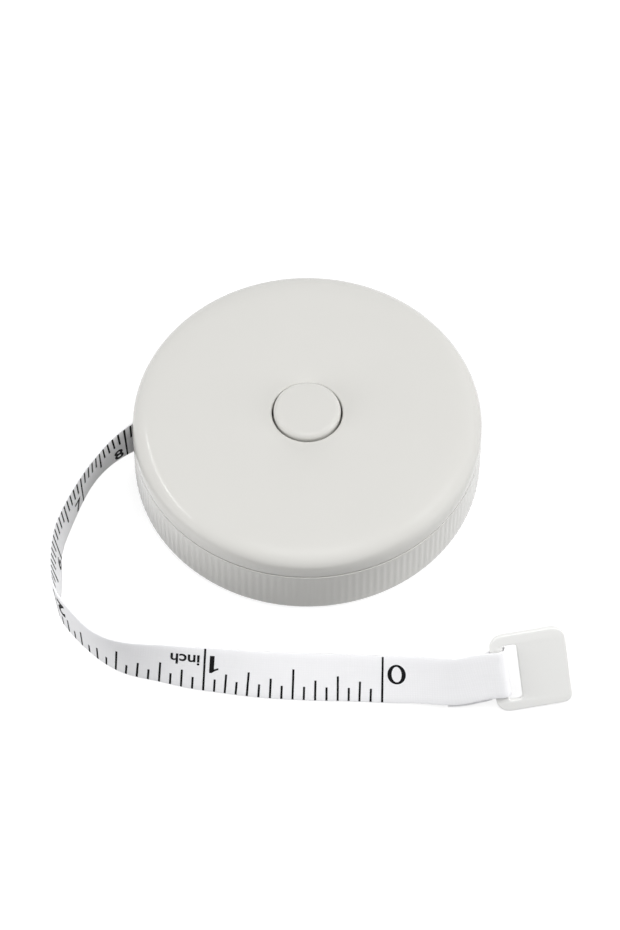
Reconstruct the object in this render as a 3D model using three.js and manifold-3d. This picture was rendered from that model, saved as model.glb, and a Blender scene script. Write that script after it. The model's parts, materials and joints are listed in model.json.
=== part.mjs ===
// Retractable cloth tape measure: a round two-shell case, a push-button brake, a sprung drum, and a
// printed tape that leaves by a mouth in the side wall and ends in a flat tab.
// Millimetres, +Z up. The origin is the middle of the case's base, on the surface that it lies on.
// The mouth is at -X. The tape turns round the left and comes along the front (-Y) towards +X.

import * as THREE from 'three';
import { mergeVertices } from 'three/addons/utils/BufferGeometryUtils.js';
import Module from 'manifold-3d';

const wasm = await Module();
wasm.setup();

// Fits
const fit_gap = 0.3; // running gap, and the gap between seated neighbours
const overrun = 1.0; // how far a cutting tool passes the face that it cuts
const merge_distance = 1e-4; // corners closer than this are one

// Case, both shells
const upper_shell_depth = 4.5; // from the top to the middle of the seam between the shells
const seam_gap = 0.3; // the thin dark line between the rims
const base_thickness = 1.3;
const top_thickness = 1.4;
const shoulder_width = 2.8; // soft top edge, an ellipse quarter
const shoulder_drop = 3.4;
const base_rounding = 1.4;
const corner_rounding = 1.6; // inside, where the walls meet the base and the top

// Grip ribs round the lower shell
const rib_count = 148;
const rib_depth = 0.2;

// Lap joint and snap bead between the shells, and the wall that holds them
const tongue_thickness = 0.8;
const tongue_lead = 0.25; // below the bead
const bead_height = 0.4;
const bead_depth = 0.45;
const bead_drop = 0.9; // from the upper shell's rim to the middle of the bead
const rim_skin = 0.65; // behind the bead's groove, to the outside
const case_wall = tongue_thickness + fit_gap + bead_depth + rim_skin;

// Tape
const tape_width = 7.5;
const tape_thickness = 0.3;
const tape_on_drum = 1406.6; // the rest of its 1.5 m and the lead to its hook
const winding_turns = 5.75; // turns drawn, each with room to its neighbour
const tail_length = 7.0; // doubled end behind the loop round the tab's bar
const tail_slip = 0.35; // how far the tail sits below the tape in front of it
const tail_shares = [0.25, 0.6, 1]; // stations along the tail
const settle_share = 0.06; // the end of the route, where the tape turns into the tab's plane

// Mouth, a funnel through both walls
const mouth_bearing = 177.5; // degrees round the case from +X
const mouth_throat = 1.8;
const mouth_flare = 3.2;
const mouth_headroom = 0.4; // above and below the tape

// Drum
const hub_wall = 1.2;
const flange_lip = 3.1; // beyond the full winding
const flange_thickness = 0.6;
const web_thickness = 0.7;
const hook_slot_width = 1.4; // for the tape's end and the power spring's hook
const hook_share = 0.25; // how far into the hub's wall the spring's hook reaches
const tail_share = 0.6; // where in that wall the tape's inner end stops
const cover_thickness = 0.5;
const cover_rib_thickness = 0.4;
const cover_rib_height = 1.0;

// Centre post and running faces of the shells
const post_radius = 3.0;
const post_ledge = 1.1; // round the spigot, where the button's spring stands
const spigot_height = 1.3;
const boss_ledge = 2.0; // round the post, under the drum
const boss_height = 0.4;
const drum_room = 1.7; // from the flange to the rounded corners of the case
const running_ring_inset = 1.6; // from the flange's edge
const running_ring_width = 1.4;
const running_ring_height = 0.6;

// Power spring
const spring_strip = 0.3;
const spring_turns = 7.5;
const hook_rounding = 0.45; // where each strip end turns into its slot

// Button
const button_radius = 4.9;
const button_bore_gap = 0.25;
const button_travel = 1.1;
const button_wall = 1.3;
const button_top = 1.2;
const button_edge = 1.9; // in from its side
const button_edge_drop = 1.25; // down from its top
const button_crown = 0.12;
const spigot_wall = 0.8; // the button's sleeve inside the brake disc
const key_count = 3;
const key_width = 1.4;
const key_reach = 1.1; // out from the button's side
const collar_wall = 1.35;
const collar_gap = 0.5; // to the brake disc below it
const collar_room = 1.9; // to the brake ring round it
const bore_chamfer = 0.2;

// Brake
const disc_thickness = 0.6;
const disc_clearance = 0.4; // to the hub's bore
const lining_width = 1.5;
const lining_thickness = 0.5;
const lining_inset = 0.2;
const locating_rib = 0.4;
const locating_rib_height = 0.3;
const brake_ring_width = 2.1;
const brake_ring_rim = 0.3;

// Button spring
const coil_wire = 0.5;
const coil_pitch = 1.1;

// End tab
const tab_thickness = 0.8;
const tab_plate = 7.0; // from the slot to the far end
const tab_rail = 1.7; // above and below the slot
const tab_corner = 2.0;
const tab_edge = 0.15;
const bar_width = 1.8;
const slot_width = 2.0;
const slot_play = 1.6; // longer than the tape is wide
const slot_corner = 0.5;
const tab_yaw = 6.2; // degrees, about +Z
const tab_lean = 29; // degrees back from upright
const tab_roll = 4.8; // degrees, far end up

// The tape's route: the middle of its width, from the mouth, and its lean back from upright in degrees
const tape_route = [
  [-2.75, -1.95, -0.1, 2.5],
  [-6.05, -5.05, -0.8, 5.5],
  [-8.6, -9.15, -1.25, 2],
  [-10.55, -13.45, -1.85, -2.5],
  [-11.9, -18.05, -2.25, -6],
  [-11.95, -22.75, -2.5, -10],
  [-11.6, -27.3, -2.5, -4],
  [-9.2, -31.25, -2.3, -2],
  [-5.95, -34.65, -2.35, -2],
  [-1.8, -36.75, -2.5, 5.5],
  [2.9, -37.45, -2.8, 13.5],
  [7.6, -38.2, -2.9, 21.5],
  [12.35, -38.7, -3.0, 27],
  [17.1, -39.15, -3.2, 30.5],
  [21.9, -39.4, -3.3, 33],
  [26.65, -39.6, -3.3, 33.5],
  [31.4, -39.75, -3.25, 33],
  [36.15, -40.05, -3.15, 32],
  [40.85, -40.5, -2.6, 30.5],
  [45.45, -41.25, -1.75, 28.5],
];
const tab_offset = [56.0, -39.7]; // from the mouth to the middle of the tab, in plan

// Facet counts
const case_facets = 60;
const inner_facets = 36;
const arc_facets = 4;
const spiral_facets = 24; // in each turn
const route_steps = 52;
const coil_facets = 12;
const wire_facets = 6;

// Levels, from the base up to the flange, down through the brake to the spring, and up to the top
const cover_floor = base_thickness + boss_height + fit_gap;
const hub_floor = cover_floor + cover_thickness;
const tape_floor = hub_floor + fit_gap;
const tape_ceiling = tape_floor + tape_width;
const flange_floor = tape_ceiling + fit_gap;
const flange_ceiling = flange_floor + flange_thickness;
const disc_ceiling = flange_floor - fit_gap - lining_thickness;
const disc_floor = disc_ceiling - disc_thickness;
const web_ceiling = disc_floor - fit_gap - button_travel;
const web_floor = web_ceiling - web_thickness;
const spring_floor = hub_floor + fit_gap;
const spring_band = web_floor - fit_gap - spring_floor;
const ring_floor = flange_ceiling + fit_gap;
const case_ceiling = ring_floor + running_ring_height;
const case_height = case_ceiling + top_thickness;
const parting_height = case_height - upper_shell_depth;
const upper_rim = parting_height + seam_gap / 2;
const lower_rim = parting_height - seam_gap / 2;
const post_ceiling = web_ceiling + fit_gap;
const button_ceiling = case_height + button_travel;
const button_roof = button_ceiling - button_top;

// Radii, from the post and the button outwards
const shaft_bore = post_radius + fit_gap;
const boss_radius = post_radius + boss_ledge;
const spigot_radius = post_radius - post_ledge;
const coil_radius = spigot_radius + fit_gap + coil_wire / 2;
const button_bore = button_radius + button_bore_gap;
const sleeve_radius = button_radius - button_wall;
const collar_radius = button_bore + collar_wall;
const hub_bore = collar_radius + collar_room + brake_ring_width + fit_gap;
const hub_radius = hub_bore + hub_wall;
const winding_inner = hub_radius + fit_gap;
const winding_outer = Math.sqrt(winding_inner ** 2 + (tape_on_drum * tape_thickness) / Math.PI);
const flange_radius = winding_outer + flange_lip;
const running_ring_radius = flange_radius - running_ring_inset;
const interior_radius = flange_radius + drum_room + corner_rounding;
const tongue_radius = interior_radius + tongue_thickness;
const rebate_radius = tongue_radius + fit_gap;
const case_radius = interior_radius + case_wall;

// The tab's slot and outline
const slot_height = tape_width + slot_play;
const tab_length = bar_width + slot_width + tab_plate; // along the tape
const tab_height = slot_height + 2 * tab_rail; // across the tape

const degree = Math.PI / 180;
const up = new THREE.Vector3(0, 0, 1);

// Solids

// A closed, merged and outward-facing solid from any three.js geometry
function solid(geometry) {
  const bare = geometry.clone();
  bare.deleteAttribute('normal');
  bare.deleteAttribute('uv');
  const merged = mergeVertices(bare, merge_distance);
  const corners = merged.attributes.position.array;
  const faces = [];
  let volume = 0;
  for (let i = 0; i < merged.index.count; i += 3) {
    const [a, b, c] = [0, 1, 2].map((k) => merged.index.getX(i + k));
    if (a === b || b === c || c === a) continue;
    faces.push(a, b, c);
    const [p, q, r] = [a, b, c].map((k) => new THREE.Vector3().fromArray(corners, 3 * k));
    volume += p.dot(q.cross(r));
  }
  if (volume < 0) faces.reverse();
  const mesh = new wasm.Mesh({
    numProp: 3,
    vertProperties: new Float32Array(corners),
    triVerts: new Uint32Array(faces),
  });
  return new wasm.Manifold(mesh);
}

function geometryOf(body) {
  const mesh = body.getMesh();
  const geometry = new THREE.BufferGeometry();
  geometry.setAttribute('position', new THREE.BufferAttribute(mesh.vertProperties, 3));
  geometry.setIndex(new THREE.BufferAttribute(mesh.triVerts, 1));
  return geometry;
}

// Turns a profile of [radius, height] points about +Z. It starts and ends on the axis, or closes on itself.
function revolve(profile, facets) {
  const points = profile.map(([radius, height]) => new THREE.Vector2(radius, height));
  const onAxis = profile[0][0] === 0 && profile[profile.length - 1][0] === 0;
  if (!onAxis) points.push(points[0].clone());
  return solid(new THREE.LatheGeometry(points, facets).rotateX(Math.PI / 2));
}

// Points of a quarter ellipse about a centre, between two angles in degrees
function arc([radius, height], across, tall, from, to) {
  return Array.from({ length: arc_facets + 1 }, (unused, i) => {
    const angle = (from + ((to - from) * i) / arc_facets) * degree;
    return [radius + across * Math.cos(angle), height + tall * Math.sin(angle)];
  });
}

// A box on the plan bearing given, between two radii and two heights
function radialBox(inner, outer, width, floor, ceiling, bearing) {
  const box = new THREE.BoxGeometry(outer - inner, width, ceiling - floor);
  box.translate((inner + outer) / 2, 0, (floor + ceiling) / 2);
  return solid(box.rotateZ(bearing * degree));
}

function mesh(name, body, material) {
  const piece = new THREE.Mesh(body.isBufferGeometry ? body : geometryOf(body), material);
  piece.name = name;
  return piece;
}

// A strip on edge: its plan line thickened to both sides and raised by its width
function standingStrip(line, thickness, floor, width) {
  const sides = [[], []];
  line.forEach((point, i) => {
    const before = line[Math.max(i - 1, 0)];
    const after = line[Math.min(i + 1, line.length - 1)];
    const side = after.clone().sub(before).normalize().rotateAround(new THREE.Vector2(), Math.PI / 2);
    sides[0].push(point.clone().addScaledVector(side, thickness / 2));
    sides[1].push(point.clone().addScaledVector(side, -thickness / 2));
  });
  const outline = new THREE.Shape([...sides[0], ...sides[1].reverse()]);
  const strip = new THREE.ExtrudeGeometry(outline, { depth: width, bevelEnabled: false });
  return solid(strip.translate(0, 0, floor));
}

// A point in plan at a radius and a bearing in degrees
function polar(radius, bearing) {
  return new THREE.Vector2(radius * Math.cos(bearing * degree), radius * Math.sin(bearing * degree));
}

// The least clear gap between stretches of a line that lie further apart along it than `apart`
function leastSelfGap(points, thickness, apart) {
  const along = [0];
  points.slice(1).forEach((point, i) => along.push(along[i] + point.distanceTo(points[i])));
  let least = Infinity;
  for (let i = 0; i < points.length; i += 1) {
    for (let j = i + 1; j < points.length; j += 1) {
      if (along[j] - along[i] > apart) least = Math.min(least, points[i].distanceTo(points[j]));
    }
  }
  return least - thickness;
}

function reportGap(name, gap) {
  console.log(`${name}: least gap to itself ${gap.toFixed(2)} mm`);
}

// Tape line

// The mouth's middle in plan, halfway through the wall, and the straight run from the winding to it
function mouthLine() {
  const mouth = polar(case_radius - case_wall / 2, mouth_bearing);
  const clear_radius = winding_outer + fit_gap + tape_thickness / 2;
  const opening = Math.acos(clear_radius / mouth.length()) / degree;
  const leaving = polar(clear_radius, mouth_bearing - opening);
  return { mouth, leaving, heading: mouth.clone().sub(leaving).normalize() };
}

// The tab's frame: its middle stands so that its lowest corner touches the surface
function tabFrame() {
  const { mouth } = mouthLine();
  const turn = new THREE.Matrix4().makeRotationZ(tab_yaw * degree);
  turn.multiply(new THREE.Matrix4().makeRotationX(-tab_lean * degree));
  turn.multiply(new THREE.Matrix4().makeRotationY(-tab_roll * degree));
  const along = new THREE.Vector3();
  const back = new THREE.Vector3();
  const tall = new THREE.Vector3();
  turn.extractBasis(along, back, tall);
  const reach = (tab_length / 2 - tab_corner) * along.z + (tab_height / 2 - tab_corner) * tall.z;
  const rounding = tab_corner * Math.hypot(along.z, tall.z) + (tab_thickness / 2) * Math.abs(back.z);
  const middle = new THREE.Vector3(mouth.x + tab_offset[0], mouth.y + tab_offset[1], reach + rounding);
  return { along, back, tall, middle, turn };
}

// Stations of the free tape: the middle of its width, and the direction across it
function tapeStations() {
  const { mouth, leaving } = mouthLine();
  const tab = tabFrame();
  const middle_height = (tape_floor + tape_ceiling) / 2;
  const layer = tab_thickness / 2 + fit_gap + tape_thickness / 2;
  const onTab = (along, back) =>
    tab.middle.clone().addScaledVector(tab.along, along).addScaledVector(tab.back, back);
  const near_edge = -tab_length / 2;
  const fold = near_edge + bar_width - tab_thickness / 2 + tape_thickness / 2;

  const knots = [
    [leaving.x, leaving.y, middle_height, 0],
    [(leaving.x + mouth.x) / 2, (leaving.y + mouth.y) / 2, middle_height, 0],
    [mouth.x, mouth.y, middle_height, 0],
    ...tape_route.map(([x, y, z, lean]) => [mouth.x + x, mouth.y + y, middle_height + z, lean]),
  ];
  const meeting = onTab(near_edge - bar_width / 2, -layer);
  knots.push([meeting.x, meeting.y, meeting.z, tab_lean]);
  const path = new THREE.CatmullRomCurve3(knots.map(([x, y, z]) => new THREE.Vector3(x, y, z)));
  const lean = new THREE.CatmullRomCurve3(knots.map((knot) => new THREE.Vector3(knot[3], 0, 0)));

  const stations = [];
  for (let i = 0; i <= route_steps; i += 1) {
    const share = i / route_steps;
    const heading = path.getTangent(share).setZ(0).normalize();
    const inward = new THREE.Vector3().crossVectors(up, heading);
    const angle = lean.getPoint(share).x * degree;
    const across = inward.multiplyScalar(Math.sin(angle)).addScaledVector(up, Math.cos(angle));
    const settled = THREE.MathUtils.smoothstep(share, 1 - settle_share, 1);
    across.lerp(tab.tall, settled).normalize();
    stations.push({ centre: path.getPoint(share), across });
  }

  // Over the bar, round its edge inside the slot, and back behind it
  const loop = [onTab(fold - bar_width / 2, -layer)];
  for (let i = 0; i <= arc_facets; i += 1) {
    const angle = (Math.PI * i) / arc_facets - Math.PI / 2;
    loop.push(onTab(fold + layer * Math.cos(angle), layer * Math.sin(angle)));
  }
  loop.push(onTab(near_edge - tape_thickness, layer).addScaledVector(tab.tall, -tail_slip));
  loop.forEach((centre) => stations.push({ centre, across: tab.tall.clone() }));

  // The tail lies along the inner face of the tape, a fit gap from it
  const doubled = tape_thickness + fit_gap;
  const lengths = path.getLength();
  tail_shares.forEach((reach_share) => {
    const share = 1 - (tail_length * reach_share) / lengths;
    const centre = path.getPointAt(share);
    const heading = path.getTangentAt(share).setZ(0).normalize();
    const inward = new THREE.Vector3().crossVectors(up, heading);
    const across = inward.clone().multiplyScalar(Math.sin(tab_lean * degree));
    across.addScaledVector(up, Math.cos(tab_lean * degree));
    const normal = new THREE.Vector3().crossVectors(across, heading).normalize();
    centre.addScaledVector(normal, doubled).addScaledVector(across, -tail_slip);
    stations.push({ centre, across });
  });
  return stations;
}

// A ribbon through the stations: four corners at each, and a flat end at both
function ribbon(stations, width, thickness) {
  const corners = [];
  stations.forEach(({ centre, across }, i) => {
    const before = stations[Math.max(i - 1, 0)].centre;
    const after = stations[Math.min(i + 1, stations.length - 1)].centre;
    const heading = after.clone().sub(before).normalize();
    const square = across.clone().addScaledVector(heading, -across.dot(heading)).normalize();
    const normal = new THREE.Vector3().crossVectors(square, heading);
    [[-1, -1], [1, -1], [1, 1], [-1, 1]].forEach(([over, through]) => {
      const corner = centre.clone().addScaledVector(square, (over * width) / 2);
      corners.push(...corner.addScaledVector(normal, (through * thickness) / 2).toArray());
    });
  });
  const faces = [0, 1, 2, 0, 2, 3];
  for (let i = 0; i < stations.length - 1; i += 1) {
    for (let k = 0; k < 4; k += 1) {
      const [a, b] = [4 * i + k, 4 * i + ((k + 1) % 4)];
      faces.push(a, a + 4, b, b, a + 4, b + 4);
    }
  }
  const last = 4 * (stations.length - 1);
  faces.push(last, last + 2, last + 1, last, last + 3, last + 2);
  const geometry = new THREE.BufferGeometry();
  geometry.setAttribute('position', new THREE.Float32BufferAttribute(corners, 3));
  geometry.setIndex(faces);
  return solid(geometry);
}

// Spirals

// The winding's outer end lies under the point where the tape leaves it, and both strips meet the hub there
const { leaving } = mouthLine();
const leaving_bearing = Math.atan2(leaving.y, leaving.x) / degree;
const hook_bearing = leaving_bearing - 360 * winding_turns;
const tang_bearing = hook_bearing - 360 * spring_turns;

// A quarter turn of a strip beside the bearing given: from radial to along the spiral, or back
function turnIn(radius, bearing) {
  return Array.from({ length: arc_facets + 1 }, (unused, i) => {
    const angle = ((i / arc_facets - 1) * Math.PI) / 2;
    const point = new THREE.Vector2(radius - hook_rounding, hook_rounding);
    point.x += hook_rounding * Math.cos(angle);
    point.y += hook_rounding * Math.sin(angle);
    return point.rotateAround(new THREE.Vector2(), bearing * degree);
  });
}

function turnOut(radius, bearing) {
  return Array.from({ length: arc_facets + 1 }, (unused, i) => {
    const angle = Math.PI - ((i / arc_facets) * Math.PI) / 2;
    const point = new THREE.Vector2(radius + hook_rounding, -hook_rounding);
    point.x += hook_rounding * Math.cos(angle);
    point.y += hook_rounding * Math.sin(angle);
    return point.rotateAround(new THREE.Vector2(), bearing * degree);
  });
}

// The spiral's points strictly between its two ends
function spiralBetween(inner, outer, bearing, turns) {
  const steps = Math.round(turns * spiral_facets);
  return Array.from({ length: steps - 1 }, (unused, i) => {
    const share = (i + 1) / steps;
    return polar(inner + (outer - inner) * share, bearing + 360 * turns * share);
  });
}

function tapeWinding() {
  const inner = winding_inner + tape_thickness / 2;
  const outer = winding_outer - tape_thickness / 2;
  const spiral = spiralBetween(inner, outer, hook_bearing, winding_turns);
  const line = [
    polar(hub_bore + hub_wall * tail_share, hook_bearing),
    ...turnIn(inner, hook_bearing),
    ...spiral,
    polar(outer, leaving_bearing),
  ];
  reportGap('tape_winding', leastSelfGap(line, tape_thickness, 2 * inner));
  return standingStrip(line, tape_thickness, tape_floor, tape_width);
}

function powerSpring() {
  const inner = post_radius + fit_gap + fit_gap + spring_strip / 2;
  const rib_inner = hub_bore - fit_gap - cover_rib_thickness;
  const outer = rib_inner - fit_gap - spring_strip;
  const spiral = spiralBetween(inner, outer, tang_bearing, spring_turns);
  const line = [
    polar(-spigot_radius, tang_bearing),
    ...turnIn(inner, tang_bearing),
    ...spiral,
    ...turnOut(outer, hook_bearing),
    polar(hub_bore + hub_wall * hook_share, hook_bearing),
  ];
  reportGap('power_spring', leastSelfGap(line, spring_strip, 2 * inner));
  return standingStrip(line, spring_strip, spring_floor, spring_band);
}

// Case

const bead_middle = upper_rim - bead_drop;
const tongue_floor = bead_middle - bead_height - tongue_lead;

// The notch that lets the tape out: narrow inside, flared outside, turned along the tape
function mouthFunnel() {
  const { mouth, heading } = mouthLine();
  const side = heading.clone().rotateAround(new THREE.Vector2(), Math.PI / 2);
  const reach = case_wall + mouth_flare / 2;
  const corner = (forward, sideways) =>
    mouth.clone().addScaledVector(heading, forward).addScaledVector(side, sideways);
  const outline = new THREE.Shape([
    corner(-reach, -mouth_throat / 2),
    corner(reach, -mouth_flare / 2),
    corner(reach, mouth_flare / 2),
    corner(-reach, mouth_throat / 2),
  ]);
  const depth = tape_width + 2 * mouth_headroom;
  const funnel = new THREE.ExtrudeGeometry(outline, { depth, bevelEnabled: false });
  return solid(funnel.translate(0, 0, tape_floor - mouth_headroom));
}

function upperShell() {
  const shoulder = [case_radius - shoulder_width, case_height - shoulder_drop];
  const corner = [interior_radius - corner_rounding, case_ceiling - corner_rounding];
  const collar_floor = disc_ceiling + collar_gap;
  const body = revolve([
    [button_bore + bore_chamfer, case_height],
    ...arc(shoulder, shoulder_width, shoulder_drop, 90, 0),
    [case_radius, upper_rim],
    [tongue_radius, upper_rim],
    [tongue_radius, bead_middle + bead_height],
    [tongue_radius + bead_depth, bead_middle],
    [tongue_radius, bead_middle - bead_height],
    [tongue_radius, tongue_floor],
    [interior_radius, tongue_floor],
    ...arc(corner, corner_rounding, corner_rounding, 0, 90),
    [running_ring_radius, case_ceiling],
    [running_ring_radius, ring_floor],
    [running_ring_radius - running_ring_width, ring_floor],
    [running_ring_radius - running_ring_width, case_ceiling],
    [collar_radius, case_ceiling],
    [collar_radius, collar_floor],
    [button_bore, collar_floor],
    [button_bore, case_height - bore_chamfer],
  ], case_facets);
  const slot = key_width + 2 * fit_gap;
  return keyBearings().reduce(
    (shell, bearing) => shell.subtract(
      radialBox(button_radius, collar_radius + overrun, slot, collar_floor - overrun, case_ceiling, bearing),
    ),
    body.subtract(mouthFunnel()),
  );
}

function keyBearings() {
  return Array.from({ length: key_count }, (unused, i) => 90 + (360 * i) / key_count);
}

// A round blank whose side carries the grip ribs, fading into the rounded base edge
function ribbedBlank(ceiling) {
  const rows = [
    [0, case_radius - base_rounding, 0],
    ...arc([case_radius - base_rounding, base_rounding], base_rounding, base_rounding, -45, 0)
      .filter((unused, i) => i % arc_facets === 0)
      .map(([radius, height]) => [height, radius, height / base_rounding]),
    [ceiling, case_radius, 1],
  ];
  const count = 2 * rib_count;
  const corners = rows.flatMap(([height, radius, depth_share]) =>
    Array.from({ length: count }, (unused, k) => {
      const valley = k % 2 === 0 ? rib_depth * depth_share : 0;
      const point = polar(radius - valley, (360 * k) / count);
      return [point.x, point.y, height];
    }).flat());
  corners.push(0, 0, 0, 0, 0, ceiling);
  const base = rows.length * count;
  const faces = [];
  for (let k = 0; k < count; k += 1) {
    const next = (k + 1) % count;
    faces.push(base, next, k, base + 1, base - count + k, base - count + next);
    for (let row = 0; row < rows.length - 1; row += 1) {
      const [low, high] = [row * count, (row + 1) * count];
      faces.push(low + k, low + next, high + k, low + next, high + next, high + k);
    }
  }
  const geometry = new THREE.BufferGeometry();
  geometry.setAttribute('position', new THREE.Float32BufferAttribute(corners, 3));
  geometry.setIndex(faces);
  return solid(geometry);
}

function lowerShell() {
  const corner = [interior_radius - corner_rounding, base_thickness + corner_rounding];
  const spigot_ceiling = post_ceiling + spigot_height;
  const boss_ceiling = base_thickness + boss_height;
  const blank_ceiling = spigot_ceiling + overrun;
  const cavity = revolve([
    [0, spigot_ceiling],
    [spigot_radius, spigot_ceiling],
    [spigot_radius, post_ceiling],
    [post_radius, post_ceiling],
    [post_radius, boss_ceiling],
    [boss_radius, boss_ceiling],
    [boss_radius, base_thickness],
    ...arc(corner, corner_rounding, corner_rounding, -90, 0),
    [interior_radius, tongue_floor - fit_gap],
    [rebate_radius, tongue_floor - fit_gap],
    [rebate_radius, bead_middle - bead_height],
    [rebate_radius + bead_depth, bead_middle],
    [rebate_radius, bead_middle + bead_height],
    [rebate_radius, lower_rim],
    [case_radius + overrun, lower_rim],
    [case_radius + overrun, blank_ceiling + overrun],
    [0, blank_ceiling + overrun],
  ], case_facets);
  const spring_slot = radialBox(
    -post_radius - overrun, post_radius + overrun, spring_strip + 2 * fit_gap,
    hub_floor, spigot_ceiling + overrun, tang_bearing,
  );
  return ribbedBlank(blank_ceiling).subtract(cavity).subtract(spring_slot).subtract(mouthFunnel());
}

// Button and brake

const sleeve_outer = sleeve_radius + spigot_wall;
const disc_radius = hub_bore - disc_clearance;
const lining_outer = disc_radius - lining_inset;
const lining_inner = lining_outer - lining_width;

function pushButton() {
  const edge_radius = button_radius - button_edge;
  const edge_ceiling = button_ceiling - button_crown;
  const cap = revolve([
    [0, button_ceiling],
    ...arc([edge_radius, edge_ceiling - button_edge_drop], button_edge, button_edge_drop, 90, 0),
    [button_radius, disc_ceiling],
    [sleeve_outer, disc_ceiling],
    [sleeve_outer, disc_floor],
    [sleeve_radius, disc_floor],
    [sleeve_radius, button_roof],
    [0, button_roof],
  ], inner_facets);
  const key_floor = disc_ceiling + fit_gap;
  const key_ceiling = case_ceiling - fit_gap;
  return keyBearings().reduce(
    (body, bearing) => body.add(
      radialBox(sleeve_outer, button_radius + key_reach, key_width, key_floor, key_ceiling, bearing),
    ),
    cap,
  );
}

function brakeDisc() {
  const bore = sleeve_outer + fit_gap;
  const rib_outer = lining_inner - fit_gap;
  const rib_ceiling = disc_ceiling + locating_rib_height;
  return revolve([
    [bore, disc_floor],
    [disc_radius, disc_floor],
    [disc_radius, disc_ceiling],
    [rib_outer, disc_ceiling],
    [rib_outer, rib_ceiling],
    [rib_outer - locating_rib, rib_ceiling],
    [rib_outer - locating_rib, disc_ceiling],
    [bore, disc_ceiling],
  ], inner_facets);
}

function brakeLining() {
  return revolve([
    [lining_inner, disc_ceiling],
    [lining_outer, disc_ceiling],
    [lining_outer, disc_ceiling + lining_thickness],
    [lining_inner, disc_ceiling + lining_thickness],
  ], inner_facets);
}

function brakeRing() {
  const outer = hub_bore - fit_gap;
  const rim_outer = (hub_bore + hub_radius) / 2;
  const rim_ceiling = flange_ceiling + brake_ring_rim;
  return revolve([
    [outer - brake_ring_width, flange_floor],
    [outer, flange_floor],
    [outer, flange_ceiling],
    [rim_outer, flange_ceiling],
    [rim_outer, rim_ceiling],
    [outer - brake_ring_width, rim_ceiling],
  ], inner_facets);
}

class Helix extends THREE.Curve {
  constructor(radius, floor, ceiling, turns) {
    super();
    Object.assign(this, { radius, floor, ceiling, turns });
  }

  getPoint(share, target = new THREE.Vector3()) {
    const point = polar(this.radius, 360 * this.turns * share);
    return target.set(point.x, point.y, this.floor + (this.ceiling - this.floor) * share);
  }
}

function buttonSpring() {
  const floor = post_ceiling + fit_gap + coil_wire / 2;
  const ceiling = button_roof - fit_gap - coil_wire / 2;
  const turns = (ceiling - floor) / coil_pitch;
  const steps = Math.round(turns * coil_facets);
  const helix = new Helix(coil_radius, floor, ceiling, turns);
  const wire = new THREE.Shape(Array.from({ length: wire_facets }, (unused, i) =>
    polar(coil_wire / 2, (360 * i) / wire_facets)));
  reportGap('button_spring', leastSelfGap(helix.getPoints(steps), coil_wire, 2 * coil_radius));
  return solid(new THREE.ExtrudeGeometry(wire, { steps, extrudePath: helix }));
}

// Drum

function drum() {
  const spool = revolve([
    [shaft_bore, web_floor],
    [hub_bore, web_floor],
    [hub_bore, hub_floor],
    [hub_radius, hub_floor],
    [hub_radius, flange_floor],
    [flange_radius, flange_floor],
    [flange_radius, flange_ceiling],
    [hub_bore, flange_ceiling],
    [hub_bore, web_ceiling],
    [shaft_bore, web_ceiling],
  ], inner_facets);
  const slot = radialBox(
    hub_bore - fit_gap, hub_radius + overrun, hook_slot_width,
    hub_floor - overrun, tape_ceiling, hook_bearing,
  );
  return spool.subtract(slot);
}

function drumCover() {
  const rib_outer = hub_bore - fit_gap;
  const rib_inner = rib_outer - cover_rib_thickness;
  const rib_ceiling = hub_floor + cover_rib_height;
  const disc = revolve([
    [shaft_bore, cover_floor],
    [flange_radius, cover_floor],
    [flange_radius, hub_floor],
    [rib_outer, hub_floor],
    [rib_outer, rib_ceiling],
    [rib_inner, rib_ceiling],
    [rib_inner, hub_floor],
    [shaft_bore, hub_floor],
  ], inner_facets);
  const window = radialBox(
    rib_inner - overrun, rib_outer + fit_gap, hook_slot_width,
    hub_floor, rib_ceiling + overrun, hook_bearing,
  );
  return disc.subtract(window);
}

// End tab

function roundedRectangle(width, height, corner, centre) {
  const [right, top] = [width / 2, height / 2];
  const outline = new THREE.Path();
  outline.absarc(centre + right - corner, top - corner, corner, 0, Math.PI / 2);
  outline.absarc(centre - right + corner, top - corner, corner, Math.PI / 2, Math.PI);
  outline.absarc(centre - right + corner, corner - top, corner, Math.PI, 1.5 * Math.PI);
  outline.absarc(centre + right - corner, corner - top, corner, 1.5 * Math.PI, 2 * Math.PI);
  outline.closePath();
  return outline;
}

function endTab() {
  const slot_middle = -tab_length / 2 + bar_width + slot_width / 2;
  const outline = new THREE.Shape(roundedRectangle(tab_length, tab_height, tab_corner, 0).getPoints(arc_facets));
  outline.holes.push(
    new THREE.Path(roundedRectangle(slot_width, slot_height, slot_corner, slot_middle).getPoints(arc_facets)),
  );
  const plate = new THREE.ExtrudeGeometry(outline, {
    depth: tab_thickness - 2 * tab_edge,
    bevelThickness: tab_edge,
    bevelSize: tab_edge,
    bevelOffset: -tab_edge,
    bevelSegments: 1,
  });
  return solid(plate.translate(0, 0, tab_edge - tab_thickness / 2).rotateX(Math.PI / 2));
}

// Materials

function finish(color, roughness, metalness = 0) {
  return new THREE.MeshStandardMaterial({ color, roughness, metalness });
}

const off_white_abs = finish('#e0e0dd', 0.28);
const button_abs = finish('#deded9', 0.3);
const tab_plastic = finish('#dedfda', 0.45);
const tape_cloth = finish('#efeef3', 0.6);
const acetal = finish('#f0efe8', 0.4);
const rubber = finish('#2b2b2b', 0.9);
const spring_steel = finish('#8d9196', 0.35, 1);

// Assembly: each group moves as one

const group = new THREE.Group();

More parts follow.
